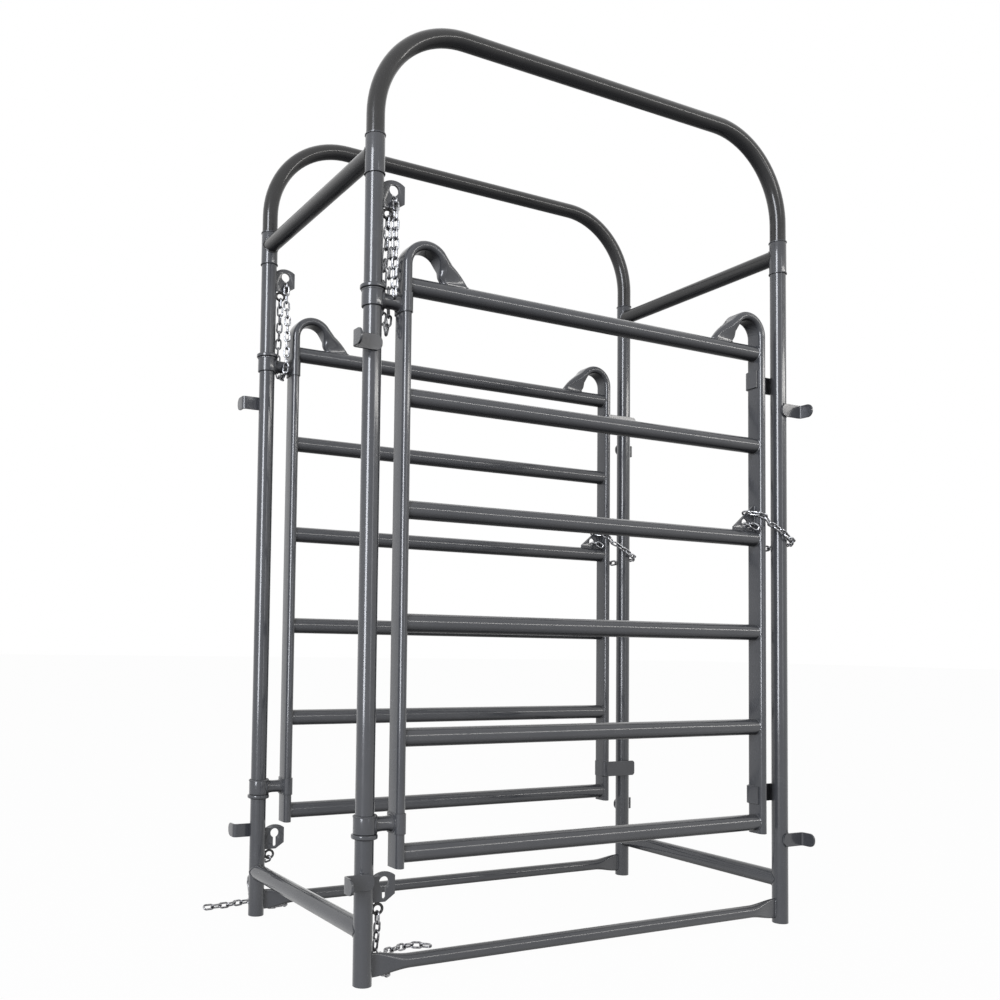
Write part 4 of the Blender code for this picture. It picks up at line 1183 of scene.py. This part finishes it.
@dataclass
class Chain:
    """A proof-coil chain laid through its bearing points, each link a quarter turn from the last."""

    name: str
    side: Side
    finish: ZincPlate = BRIGHT_ZINC
    body: str | None = None
    far_end: str = "object"
    wire: float = 6.2e-3
    pitch: float = 26.8e-3
    width: float = 22.5e-3
    bite: float = 0.5e-3
    corner: float = 3.3e-3
    count_share: float = 0.985
    evening_rounds: int = 120
    evening_power: float = 0.6
    anchor_width: float = 1.36 * INCH
    anchor_height: float = 1.26 * INCH
    anchor_gap: float = 0.03 * INCH

    @classmethod
    def anchor_centre(cls, side: Side, level: Level) -> Vector:
        """Centre of the anchor ring under a keyhole plate."""
        under = SIZES.keyhole_tops[level.value] - SIZES.keyhole_tall - cls.anchor_gap - cls.anchor_height / 2
        return SIZES.at(End.HINGE, side, under) + X * (SIZES.radius + cls.anchor_width / 2 - 0.4 * cls.corner)

    def anchor_bearing(self, level: Level, pull: Vector = -Z) -> Vector:
        """Where the chain's first link bears on the bottom of its anchor ring, pulled along a vector."""
        ring = self.anchor_centre(self.side, level) - Z * ((self.anchor_height - self.wire) / 2)
        return ring - pull * (2 * self.corner + SIZES.gap - (self.wire - self.bite) / 2)

    @staticmethod
    def smooth(points: Sequence[Vector], steps: int = 16) -> list[Vector]:
        """Points close together on a smooth curve through a route.

        Args:
            points: The route.
            steps: How many points each stretch gets.

        Returns:
            The curve's points.
        """
        padded = [2 * points[0] - points[1], *points, 2 * points[-1] - points[-2]]
        curve = []
        for a, b, c, d in zip(padded, padded[1:], padded[2:], padded[3:]):
            for i in range(steps):
                t = i / steps
                curve.append(0.5 * (2 * b + (c - a) * t + (2 * a - 5 * b + 4 * c - d) * t * t
                                    + (3 * b - a - 3 * c + d) * t ** 3))
        curve.append(points[-1])
        return curve

    def bearings(self, route: Sequence[Vector]) -> list[Vector]:
        """The bearing points between equally long links that just fill a route.

        Args:
            route: The route's points.

        Returns:
            One point more than there are links.
        """
        curve = self.smooth(route)
        reached = [0.0]
        for before, after in zip(curve, curve[1:]):
            reached.append(reached[-1] + (after - before).length)
        count = max(1, round(self.count_share * reached[-1] / self.pitch))
        gaps = [reached[-1] / count] * count
        nodes = []
        for _ in range(self.evening_rounds):
            nodes = [curve[0]]
            i, walked = 0, 0.0
            for gap in gaps[:-1]:
                walked += gap
                while reached[i + 1] < walked:
                    i += 1
                share = (walked - reached[i]) / (reached[i + 1] - reached[i])
                nodes.append(curve[i].lerp(curve[i + 1], share))
            nodes.append(curve[-1])
            chords = [(after - before).length for before, after in zip(nodes, nodes[1:])]
            mean = sum(chords) / count
            gaps = [gap * (mean / chord) ** self.evening_power for gap, chord in zip(gaps, chords)]
            total = sum(gaps)
            gaps = [gap * reached[-1] / total for gap in gaps]
        return nodes

    def link(self, shape: Shape, centre: Vector, along: Vector, wide: Vector, half: float) -> None:
        """Adds one link of round wire.

        Args:
            shape: The shape it is added to.
            centre: The link's centre.
            along: Unit vector along it.
            wide: Unit vector across its opening.
            half: Half the length of its centre line.
        """
        bend = (self.width - self.wire) / 2
        path = arc(centre + along * (half - bend), bend, -90, 90, 10, along, wide)
        path += arc(centre - along * (half - bend), bend, 90, 270, 10, along, wide)
        shape.wire(path, self.wire / 2, 10)

    def lay(self, nodes: Sequence[Vector], first_wide: Vector, settled: int,
            settled_wide: Vector) -> bpy.types.Object:
        """Args:
            nodes: The links' bearing points.
            first_wide: Direction across the first link's opening.
            settled: The link from which on the chain twists no further.
            settled_wide: Direction across that link's opening.

        Returns:
            The chain.
        """
        directions = [(b - a).normalized() for a, b in zip(nodes, nodes[1:])]
        wides = [(first_wide - directions[0] * first_wide.dot(directions[0])).normalized()]
        for before, after in zip(directions, directions[1:]):
            wides.append(before.rotation_difference(after) @ wides[-1])
        quarter = pi / 2
        along = directions[settled]
        wanted = (settled_wide - along * settled_wide.dot(along)).normalized()
        untwisted = Matrix.Rotation(quarter * settled, 3, along) @ wides[settled]
        twist = atan2(untwisted.cross(wanted).dot(along), untwisted.dot(wanted))
        twist = (twist + quarter) % pi - quarter
        shape = Shape()
        for i, along in enumerate(directions):
            wide = Matrix.Rotation(quarter * i + twist * min(i / settled, 1), 3, along) @ wides[i]
            half = (nodes[i + 1] - nodes[i]).length / 2 + (self.wire - self.bite) / 2
            self.link(shape, (nodes[i] + nodes[i + 1]) / 2, along, wide, half)
        piece = shape.piece(self.name + "_links", self.finish, self.body, self.name)
        length = sum((b - a).length for a, b in zip(nodes, nodes[1:]))
        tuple(nodes[0])
        log.info("%s: %d links, %.3f m", self.name, len(directions), length)
        return piece


@dataclass
class UpperChain(Chain):
    """Chain kept on a hinge leg, from its anchor ring round the hinge and up to the keyhole."""

    tail_links: int = 1
    tail_swing: float = 0.3
    lean: float = radians(35)
    from_leg: float = 1.85 * INCH
    bends_between: Pair = (79 * INCH, 73 * INCH)

    def slot_bearings(self) -> tuple[Vector, Vector]:
        """Bearing points of the link that lies through the keyhole's slot.

        Returns:
            The points in front of the plate and behind it.
        """
        s = SIZES
        foot = s.keyhole_tops[1] - s.keyhole_drop - s.keyhole_reach
        edge = s.at(End.HINGE, self.side, foot) + X * (s.radius + s.keyhole_inset) - Y * (s.plate / 2)
        lean = Vector((0, -cos(self.lean), -sin(self.lean)))
        lift = Vector((0, -sin(self.lean), cos(self.lean)))
        behind = s.plate / 2 + 1.6 * self.corner + s.gap
        line = edge + lift * (self.corner + (self.width - self.wire) / 2 + 2 * s.gap)
        back = line - lean * ((behind - (line.y - s.y(self.side))) / -lean.y)
        return back + lean * self.pitch, back

    def tail(self, start: Vector, out: Vector) -> list[Vector]:
        """Bearing points of a loose end that swings out by one link and then hangs.

        Args:
            start: Where it hangs from.
            out: Vector that it swings out along.

        Returns:
            The points under the start.
        """
        nodes = [start]
        for i in range(self.tail_links):
            swing = self.tail_swing / (i + 1) ** 2
            nodes.append(nodes[-1] + (out * swing - Z).normalized() * self.pitch)
        return nodes[1:]

    def hang(self) -> None:
        """Hangs the chain: the near one's tail in front of its plate, and the far one's behind."""
        y = SIZES.y(self.side)
        start = self.anchor_bearing(Level.UPPER)
        front, back = self.slot_bearings()
        centre, half = SIZES.hinge_heights[1], SIZES.spacer / 2
        clear = half / cos(pi / 12) + self.width / 2 + self.corner / 2
        x = SIZES.at(End.HINGE, self.side).x + self.from_leg
        under_ring = Vector((x, y, start.z))
        inward, outward = Vector((x, y + clear, centre + half)), Vector((x, y - clear, centre + half))
        if self.side is Side.NEAR:
            down = offsets(
                (start, 0, 0.1, -2.2), (under_ring, -0.2, 0.75, -5.4), (inward, -0.1, 0, 0),
                (inward, 0.1, 0, -2.2), (inward, 0.4, -0.1, -3.9),
            )
            up = offsets(
                (inward, 0.4, -0.1, -3.9), (inward, 0.8, 0.1, -2.3), (inward, 0.85, 0.3, 0),
                (inward, 0.75, 0, 2.4), (Vector((back.x, y, back.z)), 0.25, 0.95, -5.4),
                (back, 0.15, 0.65, -2.4), (back, 0.05, 0.36, -1),
            )
            nodes = self.bearings([start, start - Z * self.pitch, *down])
            nodes += self.bearings([*up, back])[1:]
            ends = [front, *self.tail(front, -Y - 0.5 * X)]
        else:
            below = Vector((x, y, centre - half - self.width / 2 - self.wire))
            rounding = offsets(
                (start, 0.1, 0.2, -2.4), (under_ring, 0, 0.8, -5.2), (inward, 0.1, 0.1, 0),
                (inward, 0.2, 0, -1.3), (below, 0.2, 0, -0.1), (outward, 0.25, 0, -1.3),
                (outward, 0.3, 0, 0.4), (Vector((front.x, y - clear, front.z)), 0, 0.2, -5),
                (front, 0, -0.1, -2.4),
            )
            nodes = self.bearings([start, start - Z * self.pitch, *rounding, front])
            ends = [back, *self.tail(back, Y)]
        piece = self.lay([*nodes, *ends], Y, len(nodes), X)
        fixed, moving = [Vector((x, y, height)) for height in self.bends_between]
        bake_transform(piece)


@dataclass
class LowerChain(Chain):
    """Chain that hangs from the lower anchor ring and lies on the ground with its free end."""

    finish: ZincPlate = LOWER_CHAIN_ZINC
    body: str | None = "frame"
    far_end: str = "bare"
    settled: int = 8
    routes: ClassVar[dict[Side, tuple[tuple[float, float, float], ...]]] = {
        Side.NEAR: (
            (-28.2, -14.6, 4.9), (-28.15, -14.2, 3.6), (-28.1, -14.05, 2.2), (-27.9, -14.1, 1.05),
            (-27.2, -14.3, 0.6), (-26.3, -13.7, 0.47), (-25.8, -12.3, 0.45), (-25.2, -10.5, 0.45),
            (-24.5, -8.8, 0.45), (-23.6, -7.5, 0.45), (-22.4, -6.8, 0.45), (-21.0, -6.4, 0.45),
            (-19.6, -5.9, 0.45), (-18.4, -6.3, 0.45), (-17.3, -7.1, 0.45),
        ),
        Side.FAR: (
            (-29.25, 16.6, 6.2), (-29.8, 17.0, 5.2), (-30.1, 17.15, 4.0), (-30.0, 17.2, 2.6),
            (-29.6, 17.2, 1.3), (-28.8, 17.1, 0.6), (-27.6, 16.9, 0.45), (-26.2, 16.75, 0.45),
            (-25.1, 17.0, 0.45), (-24.9, 18.0, 0.45), (-25.9, 19.2, 0.45), (-27.4, 19.9, 0.45),
            (-29.0, 20.2, 0.45), (-30.6, 20.0, 0.45), (-32.2, 19.5, 0.45), (-33.8, 19.4, 0.45),
            (-35.4, 19.3, 0.45),
        ),
    }
    pulls: ClassVar[dict[Side, tuple[Vector, Vector]]] = {
        Side.NEAR: (-Z, Y),
        Side.FAR: (Vector((-0.35, 0.85, -0.4)).normalized(), Z),
    }

    def drop(self) -> None:
        """Drops the chain on the ground, where its links lie half rolled over."""
        pull, first_wide = self.pulls[self.side]
        start = self.anchor_bearing(Level.LOWER, pull)
        route = [Vector(point) * INCH for point in self.routes[self.side]]
        nodes = self.bearings([start, start + pull * self.pitch, *route])
        along = (nodes[self.settled + 1] - nodes[self.settled]).normalized()
        self.lay(nodes, first_wide, self.settled, Z + along.cross(Z))


@dataclass
class LatchChain(Chain):
    """Chain from the gusset round the outside of the latch leg and back into the gusset's slot."""

    start_up_slope: float = 1.15 * INCH

    def latch(self, gate: SwingGate) -> None:
        """Wraps the chain round the latch leg.

        Args:
            gate: The gate that it belongs to.
        """
        s, y, half = SIZES, gate.y, Y * (self.pitch / 2)
        slope = Vector((gate.gusset_width, 0, gate.gusset_height - gate.gusset_toe)).normalized()
        out = Vector((-slope.z, 0, slope.x))
        corner = gate.gusset_corner()
        edge = corner + Vector((-gate.gusset_width, 0, gate.gusset_toe))
        hole = corner + Vector((-gate.gusset_hole_inset, 0, gate.gusset_hole_height))
        strip = hole + out * ((gate.gusset_hole + (edge - hole).dot(out)) / 2) + slope * self.start_up_slope
        tail, start = strip + half, strip - half
        slot = Vector((cos(gate.gusset_slope), 0, -sin(gate.gusset_slope)))
        middle = hole + slot * (gate.gusset_reach - 0.6 * self.width) - Y * (0.27 * self.wire)
        back, front = middle + half, middle - half
        lock = front + Vector((0.2, -0.8, -0.57)).normalized() * self.pitch
        upright, leg = gate.at(End.LATCH, 0).x, s.at(End.LATCH, gate.side).x
        nose = s.upright_depth / 2 + self.width / 2 + self.corner / 2
        turn = s.radius / cos(pi / 12) + self.width / 2 + self.corner / 2
        rows = (
            (start.x + 0.2 * INCH, start.y - 0.5 * INCH, 0),
            (start.x + 0.8 * INCH, start.y - 0.9 * INCH, 0.2),
            (start.x + 1.6 * INCH, y - nose, 0.6),
            (upright, y - nose, 1.15),
            (leg - 2.0 * INCH, y - nose, 1.9),
            (leg, y - turn - 0.1 * INCH, 2.9),
            (leg + 0.8 * turn, y - 0.75 * turn, 3.35),
            (leg + 1.1 * turn, y, 3.65),
            (leg + 0.8 * turn, y + 0.75 * turn, 3.85),
            (leg, y + turn + 0.1 * INCH, 4.0),
            (leg - 1.7 * INCH, y + nose, 4.15),
            (upright + 0.5 * INCH, y + nose, 3.1),
            (upright - 0.7 * INCH, y + nose, 2.3),
        )
        wrap = [Vector((east, north, start.z - drop * INCH)) for east, north, drop in rows]
        nodes = self.bearings([start, *wrap, *offsets((back, 0.15, 0.9, -0.1)), back])
        piece = self.lay([tail, *nodes, front, lock], out, len(nodes), slot)
        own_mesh(piece)


@dataclass(frozen=True)
class Lamp:
    """A soft rectangular light that points at the middle of the gate."""

    name: str
    place: tuple[float, float, float]
    size: Pair
    watts: float
    colour: Colour
    target: tuple[float, float, float] = (0.0, 0.0, 1.3)

    def hang(self) -> None:
        """Adds the light to the scene."""
        data = bpy.data.lights.new(self.name, "AREA")
        data.shape = "RECTANGLE"
        data.size, data.size_y = self.size
        data.energy = self.watts
        data.color = self.colour
        made = bpy.data.objects.new(self.name, data)
        made.location = self.place
        made.rotation_mode = "QUATERNION"
        made.rotation_quaternion = (Vector(self.target) - made.location).to_track_quat("-Z", "Y")
        bpy.context.scene.collection.objects.link(made)


@dataclass
class Studio:
    """The plain white studio, its soft lights and the camera."""

    lens: float = 37.17
    place: tuple[float, float, float] = (-78.733, -110.081, 34.624)
    yaw: float = 0.470
    pitch: float = 0.049
    roll: float = 0.016
    shift: Pair = (0.1356, 0.0941)
    soft_light: float = 0.38
    paper: tuple[float, float, float, float] = (0.62, 0.62, 0.63, 1)
    floor_white: float = 0.975
    floor_half: float = 60.0
    lamps: tuple[Lamp, ...] = (
        Lamp("left strip light", (-8.0, -5.0, 3.0), (3.0, 7.0), 1050, (0.90, 0.93, 1.0)),
        Lamp("front window light", (1.4, -9.0, 2.6), (1.7, 5.0), 60, (0.95, 0.97, 1.0)),
        Lamp("high window band", (6.0, -8.5, 4.2), (9.0, 0.6), 190, (1.0, 0.98, 0.95)),
    )

    def build(self) -> None:
        """Sets up everything that isn't part of the object."""
        self.camera()
        self.floor()
        self.world()
        for lamp in self.lamps:
            lamp.hang()

    def camera(self) -> None:
        """Places the camera at the photograph's viewpoint."""
        data = bpy.data.cameras.new("camera")
        data.lens = self.lens
        data.sensor_width = 36
        data.shift_x, data.shift_y = self.shift
        data.clip_end = 200
        made = bpy.data.objects.new("camera", data)
        bpy.context.scene.collection.objects.link(made)
        level = Vector((cos(self.yaw), -sin(self.yaw), 0))
        ahead = Vector((sin(self.yaw), cos(self.yaw), 0)) * cos(self.pitch) + Z * sin(self.pitch)
        above = level.cross(ahead)
        right = level * cos(self.roll) + above * sin(self.roll)
        up = above * cos(self.roll) - level * sin(self.roll)
        turned = Matrix((right, up, -ahead)).transposed()
        made.matrix_world = Matrix.Translation(Vector(self.place) * INCH) @ turned.to_4x4()
        bpy.context.scene.camera = made

    def floor(self) -> None:
        """Lays a wide white floor that keeps a faint shadow."""
        shape = bmesh.new()
        bmesh.ops.create_grid(shape, x_segments=1, y_segments=1, size=self.floor_half)
        mesh = bpy.data.meshes.new("floor")
        shape.to_mesh(mesh)
        shape.free()
        made = bpy.data.objects.new("floor", mesh)
        made.location.z = -0.0002
        bpy.context.scene.collection.objects.link(made)
        material = bpy.data.materials.new("studio white")
        material.use_nodes = True
        graph = Graph(material.node_tree)
        graph.tree.nodes.clear()
        paper = graph.add("BsdfDiffuse", Color=self.paper).outputs[0]
        glow = graph.add("Emission").outputs[0]
        share = graph.add("Math", graph.seen(), self.floor_white, operation="MULTIPLY").outputs[0]
        graph.add("OutputMaterial", Surface=graph.add("MixShader", share, paper, glow).outputs[0])
        mesh.materials.append(material)

    def world(self) -> None:
        """Fills the room with soft light and puts white behind the object."""
        world = bpy.data.worlds.new("studio")
        bpy.context.scene.world = world
        world.use_nodes = True
        graph = Graph(world.node_tree)
        graph.tree.nodes.clear()
        lights = [graph.add("Background", Color=(1, 1, 1, 1), Strength=strength).outputs[0]
                  for strength in (self.soft_light, 1.0)]
        graph.add("OutputWorld", Surface=graph.add("MixShader", graph.seen(), *lights).outputs[0])


def main() -> None:
    """Builds the object, its chains and the studio."""
    logging.basicConfig(level=logging.INFO, format="%(message)s")
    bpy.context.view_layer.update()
    bpy.context.scene.view_settings.view_transform = "Standard"
    Studio().build()
    UpperChain("near_upper_chain", Side.NEAR, tail_links=10).hang()
    UpperChain("far_upper_chain", Side.FAR).hang()
    for side in Side:
        LowerChain(f"{side.label}_lower_chain", side).drop()
    Frame().build()
    for side in Side:
        gate = SwingGate(side)
        gate.build()
        LatchChain(f"{gate.body}_latch_chain", side, body=gate.body).latch(gate)


if __name__ == "__main__":
    main()
